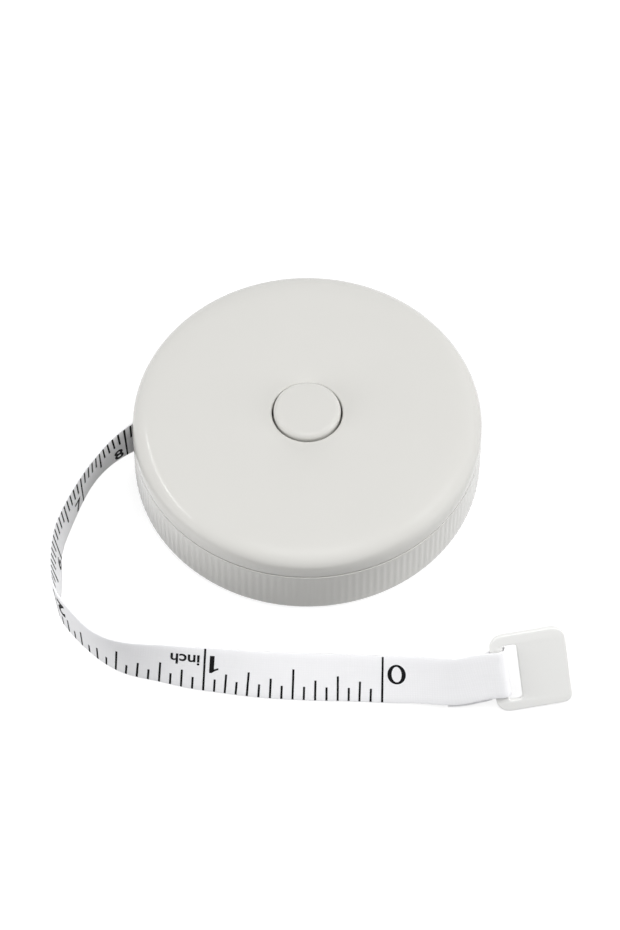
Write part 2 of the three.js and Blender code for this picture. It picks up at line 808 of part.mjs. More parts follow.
const caseGroup = new THREE.Group();
caseGroup.add(mesh('upper_shell', upperShell(), off_white_abs));
caseGroup.add(mesh('lower_shell', lowerShell(), off_white_abs));
caseGroup.add(mesh('power_spring', powerSpring(), spring_steel));
caseGroup.add(mesh('button_spring', buttonSpring(), spring_steel));
caseGroup.add(mesh('free_tape', ribbon(tapeStations(), tape_width, tape_thickness), tape_cloth));

const buttonGroup = new THREE.Group();
buttonGroup.add(mesh('push_button', pushButton(), button_abs));
buttonGroup.add(mesh('brake_disc', brakeDisc(), acetal));
buttonGroup.add(mesh('brake_lining', brakeLining(), rubber));

const drumGroup = new THREE.Group();
drumGroup.add(mesh('drum', drum(), acetal));
drumGroup.add(mesh('drum_cover', drumCover(), acetal));
drumGroup.add(mesh('brake_ring', brakeRing(), acetal));
drumGroup.add(mesh('tape_winding', tapeWinding(), tape_cloth));

const tab = tabFrame();
const tabGroup = new THREE.Group();
tabGroup.position.copy(tab.middle);
tabGroup.quaternion.setFromRotationMatrix(tab.turn);
tabGroup.add(mesh('end_tab', endTab(), tab_plastic));

group.add(caseGroup, buttonGroup, drumGroup, tabGroup);

export default group;
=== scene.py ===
"""Retractable cloth tape measure: the looks of its case, button, printed tape and end tab.

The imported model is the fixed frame, in metres, +Z up. Its origin is the middle of the case's base, the
mouth is at -X, and the free tape turns round the left and comes along the front, -Y, towards +X.
"""
import json
import math

import bmesh
import bpy
import numpy as np
from mathutils import Euler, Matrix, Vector


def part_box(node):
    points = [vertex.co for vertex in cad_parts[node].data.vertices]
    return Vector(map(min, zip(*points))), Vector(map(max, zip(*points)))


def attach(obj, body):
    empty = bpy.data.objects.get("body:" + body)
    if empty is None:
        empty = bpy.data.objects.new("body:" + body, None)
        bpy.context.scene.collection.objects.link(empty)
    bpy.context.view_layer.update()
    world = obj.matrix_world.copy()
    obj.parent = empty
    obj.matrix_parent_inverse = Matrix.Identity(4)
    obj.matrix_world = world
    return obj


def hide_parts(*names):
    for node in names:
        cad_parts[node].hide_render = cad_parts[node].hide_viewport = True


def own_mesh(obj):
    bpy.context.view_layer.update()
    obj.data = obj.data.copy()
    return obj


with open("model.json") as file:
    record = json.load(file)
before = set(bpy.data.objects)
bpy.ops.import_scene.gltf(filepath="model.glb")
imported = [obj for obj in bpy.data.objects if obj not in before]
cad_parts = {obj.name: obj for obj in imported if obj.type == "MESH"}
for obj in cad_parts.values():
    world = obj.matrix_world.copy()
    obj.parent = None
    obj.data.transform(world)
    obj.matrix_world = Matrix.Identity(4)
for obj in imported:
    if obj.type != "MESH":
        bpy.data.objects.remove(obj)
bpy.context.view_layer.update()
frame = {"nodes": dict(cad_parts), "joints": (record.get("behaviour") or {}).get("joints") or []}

bl_info = {
    "name": "Cloth Tape Measure",
    "version": (1, 0, 0),
    "blender": (4, 5, 0),
    "location": "View3D > Sidebar > Tape Measure",
    "description": "Dresses the packed model of a retractable cloth tape measure",
    "category": "Add Mesh",
}

MM = 0.001
JOINTS = {joint["name"]: joint for joint in frame["joints"]}

# Levels and radii that the frame gives
CASE_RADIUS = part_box("upper_shell")[1].x
CASE_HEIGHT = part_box("upper_shell")[1].z
TONGUE_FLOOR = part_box("upper_shell")[0].z
SPIGOT_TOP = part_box("lower_shell")[1].z
BUTTON_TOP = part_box("push_button")[1].z
SLEEVE_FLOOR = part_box("push_button")[0].z
DISC_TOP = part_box("brake_lining")[0].z
FLANGE_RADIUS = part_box("drum")[1].x
TAPE_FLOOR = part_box("tape_winding")[0].z
TAPE_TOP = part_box("tape_winding")[1].z
TAPE_MIDDLE = (TAPE_FLOOR + TAPE_TOP) / 2

# Walls and joints of the case
FIT_GAP = 0.3 * MM
OVERRUN = 1.0 * MM
TONGUE = 0.8 * MM
BEAD_DEPTH = 0.45 * MM
BEAD_HEIGHT = 0.4 * MM
BEAD_DROP = 0.9 * MM
RIM_SKIN = 0.65 * MM
CASE_WALL = TONGUE + FIT_GAP + BEAD_DEPTH + RIM_SKIN
INTERIOR_RADIUS = CASE_RADIUS - CASE_WALL
TONGUE_RADIUS = INTERIOR_RADIUS + TONGUE
REBATE_RADIUS = TONGUE_RADIUS + FIT_GAP
BASE_THICKNESS = 1.3 * MM
CASE_CEILING = CASE_HEIGHT - 1.4 * MM
CORNER_ROUNDING = 1.6 * MM
RUNNING_RING_OUTER = FLANGE_RADIUS - 1.6 * MM
RUNNING_RING_INNER = RUNNING_RING_OUTER - 1.4 * MM
RUNNING_RING_FLOOR = CASE_CEILING - 0.6 * MM
UPPER_SEGMENTS = 288
SEGMENTS_PER_RIB = 4

# Button, its bore and the post under it
BUTTON_RADIUS = 4.9 * MM
BUTTON_BORE = BUTTON_RADIUS + 0.25 * MM
BUTTON_ROOF = BUTTON_TOP - 1.2 * MM
BUTTON_SEGMENTS = 144
COLLAR_RADIUS = BUTTON_BORE + 1.35 * MM
COLLAR_FLOOR = DISC_TOP + 0.5 * MM
SLEEVE_INNER = 3.6 * MM
SLEEVE_OUTER = SLEEVE_INNER + 0.8 * MM
KEY_WIDTH = 1.4 * MM
KEY_REACH = 1.1 * MM
KEY_BEARINGS = [math.radians(bearing) for bearing in (90, 210, 330)]
POST_RADIUS = 3.0 * MM
SPIGOT_RADIUS = 1.9 * MM
POST_TOP = SPIGOT_TOP - 1.3 * MM
BOSS_RADIUS = 5.0 * MM
BOSS_TOP = BASE_THICKNESS + 0.4 * MM
WIRE = 0.5 * MM
WIRE_PITCH = 1.1 * MM

# Mouth: a funnel through both walls, turned along the straight run of tape from the winding
MOUTH_THROAT = 1.8 * MM
MOUTH_FLARE = 3.2 * MM
MOUTH_HEADROOM = 0.4 * MM
MOUTH_BEARING = math.radians(177.5)
MOUTH = Vector((math.cos(MOUTH_BEARING), math.sin(MOUTH_BEARING))) * (CASE_RADIUS - CASE_WALL / 2)
LEAVING_RADIUS = 17.35 * MM
LEAVING_BEARING = MOUTH_BEARING - math.acos(LEAVING_RADIUS / MOUTH.length)
LEAVING = Vector((math.cos(LEAVING_BEARING), math.sin(LEAVING_BEARING))) * LEAVING_RADIUS

# The winding's turns and the power spring's lead in from there to the spring's hook in the split post
WINDING_TURNS = 5.75
SPRING_TURNS = 7.5
TANG_BEARING = LEAVING_BEARING - math.tau * (WINDING_TURNS + SPRING_TURNS)
HOOK_SLOT = 0.9 * MM

# The free tape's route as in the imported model: from the mouth in metres, and its lean back in degrees
TAPE_ROUTE = [
    (-0.00275, -0.00195, -0.0001, 2.5),
    (-0.00605, -0.00505, -0.0008, 5.5),
    (-0.0086, -0.00915, -0.00125, 2),
    (-0.01055, -0.01345, -0.00185, -2.5),
    (-0.0119, -0.01805, -0.00225, -6),
    (-0.01195, -0.02275, -0.0025, -10),
    (-0.0116, -0.0273, -0.0025, -4),
    (-0.0092, -0.03125, -0.0023, -2),
    (-0.00595, -0.03465, -0.00235, -2),
    (-0.0018, -0.03675, -0.0025, 5.5),
    (0.0029, -0.03745, -0.0028, 13.5),
    (0.0076, -0.0382, -0.0029, 21.5),
    (0.01235, -0.0387, -0.003, 27),
    (0.0171, -0.03915, -0.0032, 30.5),
    (0.0219, -0.0394, -0.0033, 33),
    (0.02665, -0.0396, -0.0033, 33.5),
    (0.0314, -0.03975, -0.00325, 33),
    (0.03615, -0.04005, -0.00315, 32),
    (0.04085, -0.0405, -0.0026, 30.5),
    (0.04545, -0.04125, -0.00175, 28.5),
]
TAPE_THICKNESS = 0.3 * MM
TAPE_STEP = 0.45 * MM
SETTLING = 0.06  # share of the route in which the tape turns into the tab's plane
ALONG_MAP = "along_tape"

# The printed scales: both start at one line, this far along the tape from the mouth
ZERO_FROM_MOUTH = 82.9 * MM
INCH = 25.4 * MM
CENTIMETRE = 10.0 * MM
SCALE_IN_CASE = 8.0 * MM
GLYPH_STEP = 0.3 * MM

# Share of the tape's width that a line takes, by the step that it falls on. 1 is from edge to edge.
METRIC_LINES = {1: 0.42, 5: 0.66, 10: 1}
INCH_LINES = {1: 0.28, 2: 0.42, 4: 0.52, 8: 0.64, 16: 1}

# How much heavier than plain lettering the print is, as shares of its size
METRIC_WEIGHT = 0.022
INCH_WEIGHT = 0.035
UNIT_WEIGHT = 0.02

# End tab: turned about +Z, leaned back and rolled with its far end up, swinging on the bar in the loop
TAB_LEAN = 29
TAB_TURN = Euler((math.radians(-TAB_LEAN), math.radians(-4.8), math.radians(6.2)), "YXZ").to_matrix()
TAB_ALONG, TAB_BACK, TAB_TALL = TAB_TURN.col
TAB_THICKNESS = 0.8 * MM
BAR_WIDTH = 1.8 * MM
SLOT_WIDTH = 2.0 * MM
TAB_LENGTH = BAR_WIDTH + SLOT_WIDTH + 7.0 * MM
TAB_MIDDLE = Vector(JOINTS["tab_swing"]["pos_m"]) + TAB_ALONG * (TAB_LENGTH - BAR_WIDTH) / 2

# Loop of tape round the bar: its radius clears the bar's corners, so that the bar can turn in it
LOOP_CLEARANCE = 0.02 * MM
LOOP_RADIUS = math.hypot(BAR_WIDTH, TAB_THICKNESS) / 2 + LOOP_CLEARANCE + TAPE_THICKNESS / 2
LOOP_PAST_BAR = 0.12 * MM
LOOP_LIFT = 0.35 * MM
LOOP_APPROACH = 0.68  # share of the radius at which the tape passes the bar's near edge
TAIL_LENGTH = 8.4 * MM
TAIL_SLIP = 0.6 * MM
TAIL_LEAVES = 0.4 * MM
TAIL_CLOSING = 2.2 * MM

# The photograph's camera
CAMERA_EYE = (0.000408, -0.31808, 0.48911)
CAMERA_TILT = math.radians(33)
CAMERA_LENS = 152.39

# Soft lights: bearing and height in degrees, size in metres and power in watts. The strip is the only one
# that gives a highlight; the others light the object as lamps behind a large diffuser do.
LAMPS = {
    "overhead_light": (270, 72, (0.4, 0.4), 2.62),
    "left_light": (180, 50, (0.3, 0.3), 0.45),
    "low_left_light": (200, 12, (0.3, 0.3), 2.3),
    "right_light": (0, 50, (0.3, 0.3), 1.95),
    "low_right_light": (345, 12, (0.3, 0.3), 1.8),
    "low_back_light": (90, 12, (0.3, 0.3), 1.5),
    "left_strip": (168, 44, (0.5, 0.025), 0.35),
}
MIRRORED_LAMP = "left_strip"
LAMP_DISTANCE = 0.7
ROOM_FILL = 0.03
PAPER_GLOW = 0.8
PAPER_SEEN = "#969696"
PAPER_REACH = 3.0
PAPER_DROP = 0.01 * MM


def linear(colour):
    """An sRGB hex colour as linear red, green, blue and alpha."""
    parts = [int(colour[i:i + 2], 16) / 255 for i in (1, 3, 5)]
    return (*(c / 12.92 if c <= 0.04045 else ((c + 0.055) / 1.055) ** 2.4 for c in parts), 1.0)


def size_property(name, default, description):
    return bpy.props.FloatProperty(
        name=name, description=description, default=default, min=0.0, unit="LENGTH", precision=5)


def colour_property(name, colour, description):
    return bpy.props.FloatVectorProperty(
        name=name, description=description, default=linear(colour), size=4, min=0.0, max=1.0,
        subtype="COLOR")


# Settings


class TapeMeasureSizes(bpy.types.PropertyGroup):
    """Sizes of the visible form"""

    shoulder_width: size_property("Shoulder width", 5.5 * MM, "How far the soft top edge reaches in")
    shoulder_drop: size_property("Shoulder drop", 3.6 * MM, "How far the soft top edge reaches down")
    shoulder_fullness: bpy.props.FloatProperty(
        name="Shoulder fullness", description="2 is an ellipse, and more is a fuller curve", default=2.8,
        min=2.0)
    base_rounding: size_property("Base rounding", 1.4 * MM, "Radius of the bottom edge")
    seam_height: size_property("Seam height", CASE_HEIGHT - 4.5 * MM, "Middle of the seam between the shells")
    seam_gap: size_property("Seam gap", 0.3 * MM, "Width of the seam")
    rim_rounding: size_property("Rim rounding", 0.12 * MM, "Radius of the edges at the seam")
    rib_count: bpy.props.IntProperty(
        name="Grip ribs", description="Upright ribs round the lower shell", default=148, min=3)
    rib_depth: size_property("Rib depth", 0.07 * MM, "Depth of the valleys between the ribs")
    button_edge: size_property("Button edge", 0.9 * MM, "How far the button's round edge reaches in")
    button_edge_drop: size_property("Button edge drop", 0.9 * MM, "How far that edge reaches down")
    button_crown: size_property("Button crown", 0.12 * MM, "Rise of the button's middle")
    bore_rounding: size_property("Bore rounding", 0.25 * MM, "Radius of the button hole's edge")
    tape_width: size_property("Tape width", TAPE_TOP - TAPE_FLOOR, "Width of the cloth tape")
    tape_edge: size_property("Tape edge", 0.11 * MM, "Radius of the tape's edges")
    tab_height: size_property("Tab height", 12.5 * MM, "Size of the end tab across the tape")
    tab_corner: size_property("Tab corner", 2.0 * MM, "Radius of the tab's corners")
    tab_small_corner: size_property("Tab small corner", 1.2 * MM, "Radius of its lower far corner")
    tab_edge: size_property("Tab edge", 0.2 * MM, "Rounding of the tab's edges")
    slot_play: size_property("Slot play", 1.6 * MM, "How much longer the slot is than the tape is wide")
    slot_corner: size_property("Slot corner", 0.5 * MM, "Radius of the slot's corners")


class TapeMeasurePrint(bpy.types.PropertyGroup):
    """Sizes of the printed scales"""

    line_width: size_property("Line width", 0.3 * MM, "Width of each printed line")
    ink: size_property("Ink", 0.014 * MM, "How proud the print stands")
    metric_height: size_property("Centimetre figures", 2.6 * MM, "Height of the centimetre figures")
    metric_margin: size_property("Centimetre margin", 0.4 * MM, "From the tape's edge to those figures")
    inch_height: size_property("Inch figures", 3.15 * MM, "Height of the inch figures")
    zero_width: size_property("Zero width", 2.66 * MM, "Width of the wide zero")
    zero_side: size_property("Zero side", 0.6 * MM, "Weight of the zero's sides")
    zero_cap: size_property("Zero cap", 0.33 * MM, "Weight of the zero's top and bottom")
    one_height: size_property("One height", 2.95 * MM, "Height of the one")
    one_width: size_property("One width", 1.28 * MM, "Width of the one with its flag")
    one_stem: size_property("One stem", 0.66 * MM, "Weight of the one's stem")
    unit_height: size_property("Unit word", 1.95 * MM, "Height of the unit word on the inch side")
    inch_margin: size_property("Inch margin", 1.3 * MM, "From the tape's edge to the inch figures")
    figure_gap: size_property("Figure gap", 0.72 * MM, "From a figure to its line")


class TapeMeasureColours(bpy.types.PropertyGroup):
    """Colours of the materials"""

    case: colour_property("Case", "#d3d2ce", "Off-white ABS of the case")
    button: colour_property("Button", "#d2d1cd", "Off-white ABS of the button")
    tape: colour_property("Tape", "#fdfdff", "Coated cloth")
    ink: colour_property("Print", "#0b0b0d", "Printing ink")
    tab: colour_property("Tab", "#efefed", "Plastic of the end tab")
    acetal: colour_property("Acetal", "#efeee6", "Drum and brake")
    rubber: colour_property("Rubber", "#262626", "Brake lining")
    steel: colour_property("Steel", "#a9adb1", "Springs")
    floor: colour_property("Floor", "#909090", "Floor under the object")


def sizes():
    return bpy.context.scene.tape_measure_sizes


def printing():
    return bpy.context.scene.tape_measure_print


def colours():
    return bpy.context.scene.tape_measure_colours


# Node helpers


def feed(tree, node, inputs):
    """Sets a node's inputs to values, or links them to sockets or to the first output of other nodes."""
    for key, value in inputs.items():
        if isinstance(value, bpy.types.Node):
            value = value.outputs[0]
        if isinstance(value, bpy.types.NodeSocket):
            tree.links.new(value, node.inputs[key])
        else:
            node.inputs[key].default_value = value


def add_node(tree, kind, inputs=None, **settings):
    """Adds a node with its own settings, and feeds its inputs."""
    made = tree.nodes.new(kind)
    for name, value in settings.items():
        setattr(made, name, value)
    feed(tree, made, inputs or {})
    return made


def new_geometry_tree(name, inputs):
    """A geometry tree that starts from the piece's mesh, and the sockets of its named inputs."""
    tree = bpy.data.node_groups.new(name, "GeometryNodeTree")
    tree.interface.new_socket("Mesh", in_out="OUTPUT", socket_type="NodeSocketGeometry")
    tree.interface.new_socket("Start", in_out="INPUT", socket_type="NodeSocketGeometry")
    for label, value in inputs.items():
        kind = {int: "NodeSocketInt", float: "NodeSocketFloat"}.get(type(value), "NodeSocketMaterial")
        tree.interface.new_socket(label, in_out="INPUT", socket_type=kind)
    return tree, {socket.name: socket for socket in add_node(tree, "NodeGroupInput").outputs}


def end_geometry_tree(tree, geometry, material):
    real = add_node(tree, "GeometryNodeRealizeInstances", {"Geometry": geometry})
    painted = add_node(tree, "GeometryNodeSetMaterial", {"Geometry": real, "Material": material})
    add_node(tree, "NodeGroupOutput", {0: painted})
    return tree


def run_tree(piece, tree, inputs):
    """Runs a geometry tree on a piece with its inputs set, and makes the result the piece's plain mesh."""
    modifier = piece.modifiers.new(tree.name, "NODES")
    modifier.node_group = tree
    for item in tree.interface.items_tree:
        if item.in_out == "INPUT" and item.name in inputs:
            modifier[item.identifier] = inputs[item.name]
    make_plain(piece)


# Mesh helpers


def smoothstep(value, low, high):
    share = np.clip((value - low) / (high - low), 0, 1)
    return share * share * (3 - 2 * share)


def new_piece(name, mesh, material=None):
    piece = bpy.data.objects.new(name, mesh)
    bpy.context.scene.collection.objects.link(piece)
    if material is not None:
        mesh.materials.clear()
        mesh.materials.append(material)
    return piece


def plain_mesh(piece):
    """What a piece is once its curve or its modifiers are worked out."""
    graph = bpy.context.evaluated_depsgraph_get()
    return bpy.data.meshes.new_from_object(piece.evaluated_get(graph), depsgraph=graph)


def make_plain(piece):
    """Replaces a piece's mesh by what its modifiers make of it, and removes them."""
    plain = plain_mesh(piece)
    piece.modifiers.clear()
    piece.data = plain


def shade(piece, angle=35):
    """Smooth faces, with sharp edges where they meet at more than the angle given in degrees."""
    piece.data.shade_smooth()
    piece.data.set_sharp_from_angle(angle=math.radians(angle))


def mesh_from(shape, name, turn=True):
    """Makes a closed bmesh a mesh, and turns its faces outwards unless they already are."""
    if turn:
        bmesh.ops.recalc_face_normals(shape, faces=shape.faces)
    mesh = bpy.data.meshes.new(name)
    shape.to_mesh(mesh)
    shape.free()
    return mesh


def arc(centre, across, tall, start, end, steps, power=1.0):
    """Points of an ellipse about a centre in the profile's plane, between two angles in degrees. A power
    below 1 fills out its corners."""
    angles = np.radians(np.linspace(start, end, steps + 1))
    turns = np.stack([np.cos(angles), np.sin(angles)], axis=1)
    turns = np.sign(turns) * np.where(np.abs(turns) < 1e-9, 0, np.abs(turns)) ** power
    return [(centre[0] + across * right, centre[1] + tall * up) for right, up in turns]


def revolve(name, profile, segments):
    """Turns a closed profile of (radius, height) about +Z. A point on the axis becomes one pole."""
    shape = bmesh.new()
    rings = []
    for radius, height in profile:
        turns = [math.tau * k / segments for k in range(segments if radius > 0 else 1)]
        rings.append([shape.verts.new((radius * math.cos(a), radius * math.sin(a), height)) for a in turns])
    for low, high in zip(rings, rings[1:] + rings[:1]):
        for k in range(segments):
            corners = [low[k % len(low)], low[(k + 1) % len(low)],
                       high[(k + 1) % len(high)], high[k % len(high)]]
            corners = list(dict.fromkeys(corners))
            if len(corners) > 2:
                shape.faces.new(corners)
    return mesh_from(shape, name)


def joined_rings(shape, rings):
    """Closed quads from each ring of vertices to the next."""
    for near, far in zip(rings, rings[1:]):
        count = len(near)
        for k in range(count):
            shape.faces.new((near[k], near[(k + 1) % count], far[(k + 1) % count], far[k]))


def prism(outline, floor, ceiling):
    """A cutting or joining tool: a plan outline raised between two heights."""
    shape = bmesh.new()
    ends = [[shape.verts.new((x, y, z)) for x, y in outline] for z in (floor, ceiling)]
    for end in ends:
        shape.faces.new(end)
    joined_rings(shape, ends)
    return new_piece("tool", mesh_from(shape, "tool"))


def radial_box(inner, outer, width, floor, ceiling, bearing):
    """A box on a plan bearing, between two radii and two heights."""
    forward = Vector((math.cos(bearing), math.sin(bearing)))
    side = forward.orthogonal() * width / 2
    corners = [forward * inner - side, forward * outer - side, forward * outer + side, forward * inner + side]
    return prism(corners, floor, ceiling)


def mouth_funnel():
    """The notch that lets the tape out: narrow inside, flared outside, turned along the tape."""
    heading = (MOUTH - LEAVING).normalized()
    side = heading.orthogonal()
    reach = CASE_WALL + MOUTH_FLARE / 2
    outline = [MOUTH + heading * forward * reach + side * sideways * width / 2
               for forward, sideways, width in ((-1, -1, MOUTH_THROAT), (1, -1, MOUTH_FLARE),
                                                (1, 1, MOUTH_FLARE), (-1, 1, MOUTH_THROAT))]
    return prism(outline, TAPE_FLOOR - MOUTH_HEADROOM, TAPE_TOP + MOUTH_HEADROOM)


def combine(piece, tools, operation):
    """Cuts or joins tools, which are then removed."""
    for tool in tools:
        modifier = piece.modifiers.new("tool", "BOOLEAN")
        modifier.object = tool
        modifier.operation = operation
        modifier.solver = "MANIFOLD"
    make_plain(piece)
    for tool in tools:
        bpy.data.objects.remove(tool)


def drawn(outlines, unit=1.0):
    """A flat curve drawn by its closed outlines, in the unit given. One inside another is a hole."""
    curve = bpy.data.curves.new("drawn", "CURVE")
    curve.dimensions = "2D"
    curve.fill_mode = "BOTH"
    for outline in outlines:
        spline = curve.splines.new("POLY")
        spline.points.add(len(outline) - 1)
        for point, (x, y) in zip(spline.points, outline):
            point.co = (x / unit, y / unit, 0, 1)
        spline.use_cyclic_u = True
    return curve


def filled(curve, doubles):
    """The closed slab that a flat curve with a thickness makes. Points closer than the doubles' distance
    are merged."""
    piece = new_piece("flat", curve)
    shape = bmesh.new()
    shape.from_mesh(plain_mesh(piece))
    bpy.data.objects.remove(piece)
    bmesh.ops.remove_doubles(shape, verts=shape.verts, dist=doubles)
    return shape


def seat(piece, body, slot, *nodes):
    """Lets a finished piece move with its body and stand for its CAD nodes, which it hides. The slot is not
    used.
    """
    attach(piece, body)
    if nodes:
        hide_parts(*nodes)


def dress(name, material):
    """Gives a CAD node that stays its finish."""
    node = frame["nodes"][name]
    node.data.materials.clear()
    node.data.materials.append(material)


# Materials


def new_material(name, on_tape=False):
    """A material, its tree, and the place on the piece in millimetres: the object's own, or along and across
    the tape."""
    material = bpy.data.materials.new(name)
    material.use_nodes = True
    tree = material.node_tree
    if on_tape:
        metres = add_node(tree, "ShaderNodeUVMap", uv_map=ALONG_MAP)
    else:
        metres = add_node(tree, "ShaderNodeTexCoord").outputs["Object"]
    place = add_node(tree, "ShaderNodeVectorMath", {0: metres, "Scale": 1 / MM}, operation="SCALE")
    return material, tree, place


def shaded(colour, share):
    """The colour with its light scaled by a share."""
    return (*(min(1.0, c * share) for c in colour[:3]), 1.0)


def finish(tree, tint, gloss, relief, settings):
    """Completes a material's shader. The tint goes from one colour to another by a share, the gloss from one
    roughness to another by a share, and the relief has a height, a depth in metres and a strength. The
    settings are for the shader's own sockets."""
    mix = add_node(tree, "ShaderNodeMix", dict(zip((0, 6, 7), tint)), data_type="RGBA")
    roughness = add_node(tree, "ShaderNodeMapRange", dict(zip(("Value", "To Min", "To Max"), gloss)))
    bump = add_node(tree, "ShaderNodeBump", dict(zip(("Height", "Distance", "Strength"), relief)))
    feed(tree, tree.nodes["Principled BSDF"], {
        "Base Color": mix.outputs[2], "Roughness": roughness, "Normal": bump, **settings})


def moulded(name, colour, roughness, mottle=0.012, skin=0.003, ior=1.54, dusty=False):
    """Injection-moulded plastic: one pigment all through with a faint flow mottle, a gloss that handling has
    made slightly uneven, and the mould's fine skin, which softens every highlight."""
    material, tree, place = new_material(name)
    flow, handled, grain = [
        add_node(tree, "ShaderNodeTexNoise", {"Vector": place, "Scale": 1 / millimetres, "Detail": detail})
        for millimetres, detail in ((9.0, 3.0), (3.5, 4.0), (0.4, 2.0))]
    tint = (flow, shaded(colour, 1 - mottle), shaded(colour, 1 + mottle))
    if dusty:
        clean = add_node(tree, "ShaderNodeMix", dict(zip((0, 6, 7), tint)), data_type="RGBA")
        tint = (specks(tree, place), clean.outputs[2], shaded(colour, 0.45))
    uneven = 0.06
    gloss = (handled, roughness - uneven, roughness + uneven)
    finish(tree, tint, gloss, (grain, skin * MM, 1.0), {"IOR": ior})
    return material


def specks(tree, place):
    """Specks of about 0.1 mm, one in each 6 mm cell, of which only the cells with the darkest colours show
    theirs."""
    cells = add_node(tree, "ShaderNodeTexVoronoi", {"Vector": place, "Scale": 1 / 6.0})
    near = add_node(tree, "ShaderNodeMath", {0: cells.outputs["Distance"], 1: 0.01}, operation="LESS_THAN")
    chosen = add_node(tree, "ShaderNodeMath", {0: cells.outputs["Color"], 1: 0.2}, operation="LESS_THAN")
    return add_node(tree, "ShaderNodeMath", {0: near, 1: chosen}, operation="MULTIPLY")


def glossy_abs():
    """Glossy injection-moulded ABS: clean off-white with a soft shine, and a rare speck of dust."""
    return moulded("glossy_abs", tuple(colours().case), 0.17, dusty=True)


def handled_abs():
    """The same ABS on the button, a little duller where fingers press it."""
    return moulded("glossy_abs_button", tuple(colours().button), 0.22)


def satin_polypropylene():
    """Injection-moulded polypropylene: off-white and satin, waxier than the case."""
    return moulded("satin_polypropylene", tuple(colours().tab), 0.44, mottle=0.02, skin=0.006, ior=1.49)


def natural_acetal():
    """Injection-moulded acetal: a waxy, slightly yellow white with a satin skin."""
    return moulded("natural_acetal", tuple(colours().acetal), 0.4, mottle=0.02, skin=0.004, ior=1.48)


def moulded_rubber():
    """Moulded nitrile rubber: black and matt, with a fine dry grain."""
    return moulded("moulded_rubber", tuple(colours().rubber), 0.82, mottle=0.15, skin=0.02, ior=1.52)


def weave(tree, place):
    """The height of a plain weave: 0 between the threads and 1 on them. The real threads lie about 0.3 mm
    apart; they are drawn at 0.36 mm, which is as fine as shows."""
    thread = 0.36
    parts = add_node(tree, "ShaderNodeSeparateXYZ", {0: place})
    waves = []
    for axis in (0, 1):
        turned = add_node(
            tree, "ShaderNodeMath", {0: parts.outputs[axis], 1: math.pi / thread}, operation="MULTIPLY")
        waves.append(add_node(tree, "ShaderNodeMath", {0: turned}, operation="SINE"))
    crossed = add_node(tree, "ShaderNodeMath", {0: waves[0], 1: waves[1]}, operation="MULTIPLY")
    return add_node(tree, "ShaderNodeMath", {0: crossed}, operation="ABSOLUTE")


def coated_cloth():
    """Glass-fibre cloth with a thin white vinyl coat: cool white, matt with a slight sheen, its weave just
    readable through the coat, where single threads lie heavier than others. The dips between the threads
    carry painted shade."""
    material, tree, place = new_material("coated_cloth", on_tape=True)
    colour = tuple(colours().tape)
    threads = weave(tree, place)
    slubs = []
    for stretch in ((0.2, 2.8, 1.0), (2.8, 0.2, 1.0)):
        drawn_out = add_node(tree, "ShaderNodeMapping", {"Vector": place, "Scale": stretch})
        slubs.append(add_node(tree, "ShaderNodeTexNoise", {"Vector": drawn_out, "Scale": 1.0, "Detail": 3.0}))
    heavier = add_node(tree, "ShaderNodeMath", {0: slubs[0], 1: slubs[1]}, operation="MULTIPLY")
    cloud = add_node(tree, "ShaderNodeTexNoise", {"Vector": place, "Scale": 1 / 4.0, "Detail": 3.0})
    coat = shaded(colour, 0.93)
    for share, low, high in ((heavier, 0.12, 0.4), (cloud, 0.35, 0.7)):
        shown = add_node(tree, "ShaderNodeMapRange", {"Value": share, "From Min": low, "From Max": high})
        coat = add_node(tree, "ShaderNodeMix", {0: shown, 6: coat, 7: colour}, data_type="RGBA").outputs[2]
    # Painted shade: the dips between the threads are coloured a little darker than the coat
    tint = (threads, shaded(colour, 0.965), coat)
    finish(tree, tint, (threads, 0.7, 0.5), (threads, 0.008 * MM, 1.0), {"IOR": 1.53})
    return material


def wound_cloth():
    """The same coated cloth, seen on edge: fine layers of weave."""
    material, tree, place = new_material("wound_cloth")
    colour = tuple(colours().tape)
    threads = add_node(tree, "ShaderNodeTexNoise", {"Vector": place, "Scale": 1 / 0.3, "Detail": 2.0})
    tint = (threads, shaded(colour, 0.88), colour)
    finish(tree, tint, (threads, 0.7, 0.5), (threads, 0.02 * MM, 1.0), {})
    return material


def print_ink():
    """Black screen-printing ink: nearly black and matt, thinner in the dips of the weave, where the white
    shows through a little. It mirrors far less than a smooth film does."""
    material, tree, place = new_material("print_ink", on_tape=True)
    threads = weave(tree, place)
    patchy = add_node(tree, "ShaderNodeTexNoise", {"Vector": place, "Scale": 1 / 0.5, "Detail": 3.0})
    thin = add_node(
        tree, "ShaderNodeMapRange", {"Value": patchy, "From Min": 0.55, "From Max": 0.85, "To Max": 0.3})
    tint = (thin, tuple(colours().ink), linear("#3c3c42"))
    finish(tree, tint, (threads, 0.8, 0.65), (threads, 0.008 * MM, 1.0), {"Specular IOR Level": 0.15})
    return material


def spring_steel():
    """Bare hardened spring steel: grey metal with the fine streaks of drawing."""
    material, tree, place = new_material("spring_steel")
    colour = tuple(colours().steel)
    stretched = add_node(tree, "ShaderNodeMapping", {"Vector": place, "Scale": (1.0, 1.0, 12.0)})
    streaks = add_node(tree, "ShaderNodeTexNoise", {"Vector": stretched, "Scale": 1 / 1.2, "Detail": 4.0})
    tint = (streaks, shaded(colour, 0.85), shaded(colour, 1.1))
    finish(tree, tint, (streaks, 0.24, 0.42), (streaks, 0.004 * MM, 0.6), {"Metallic": 1.0})
    return material


# Tape line


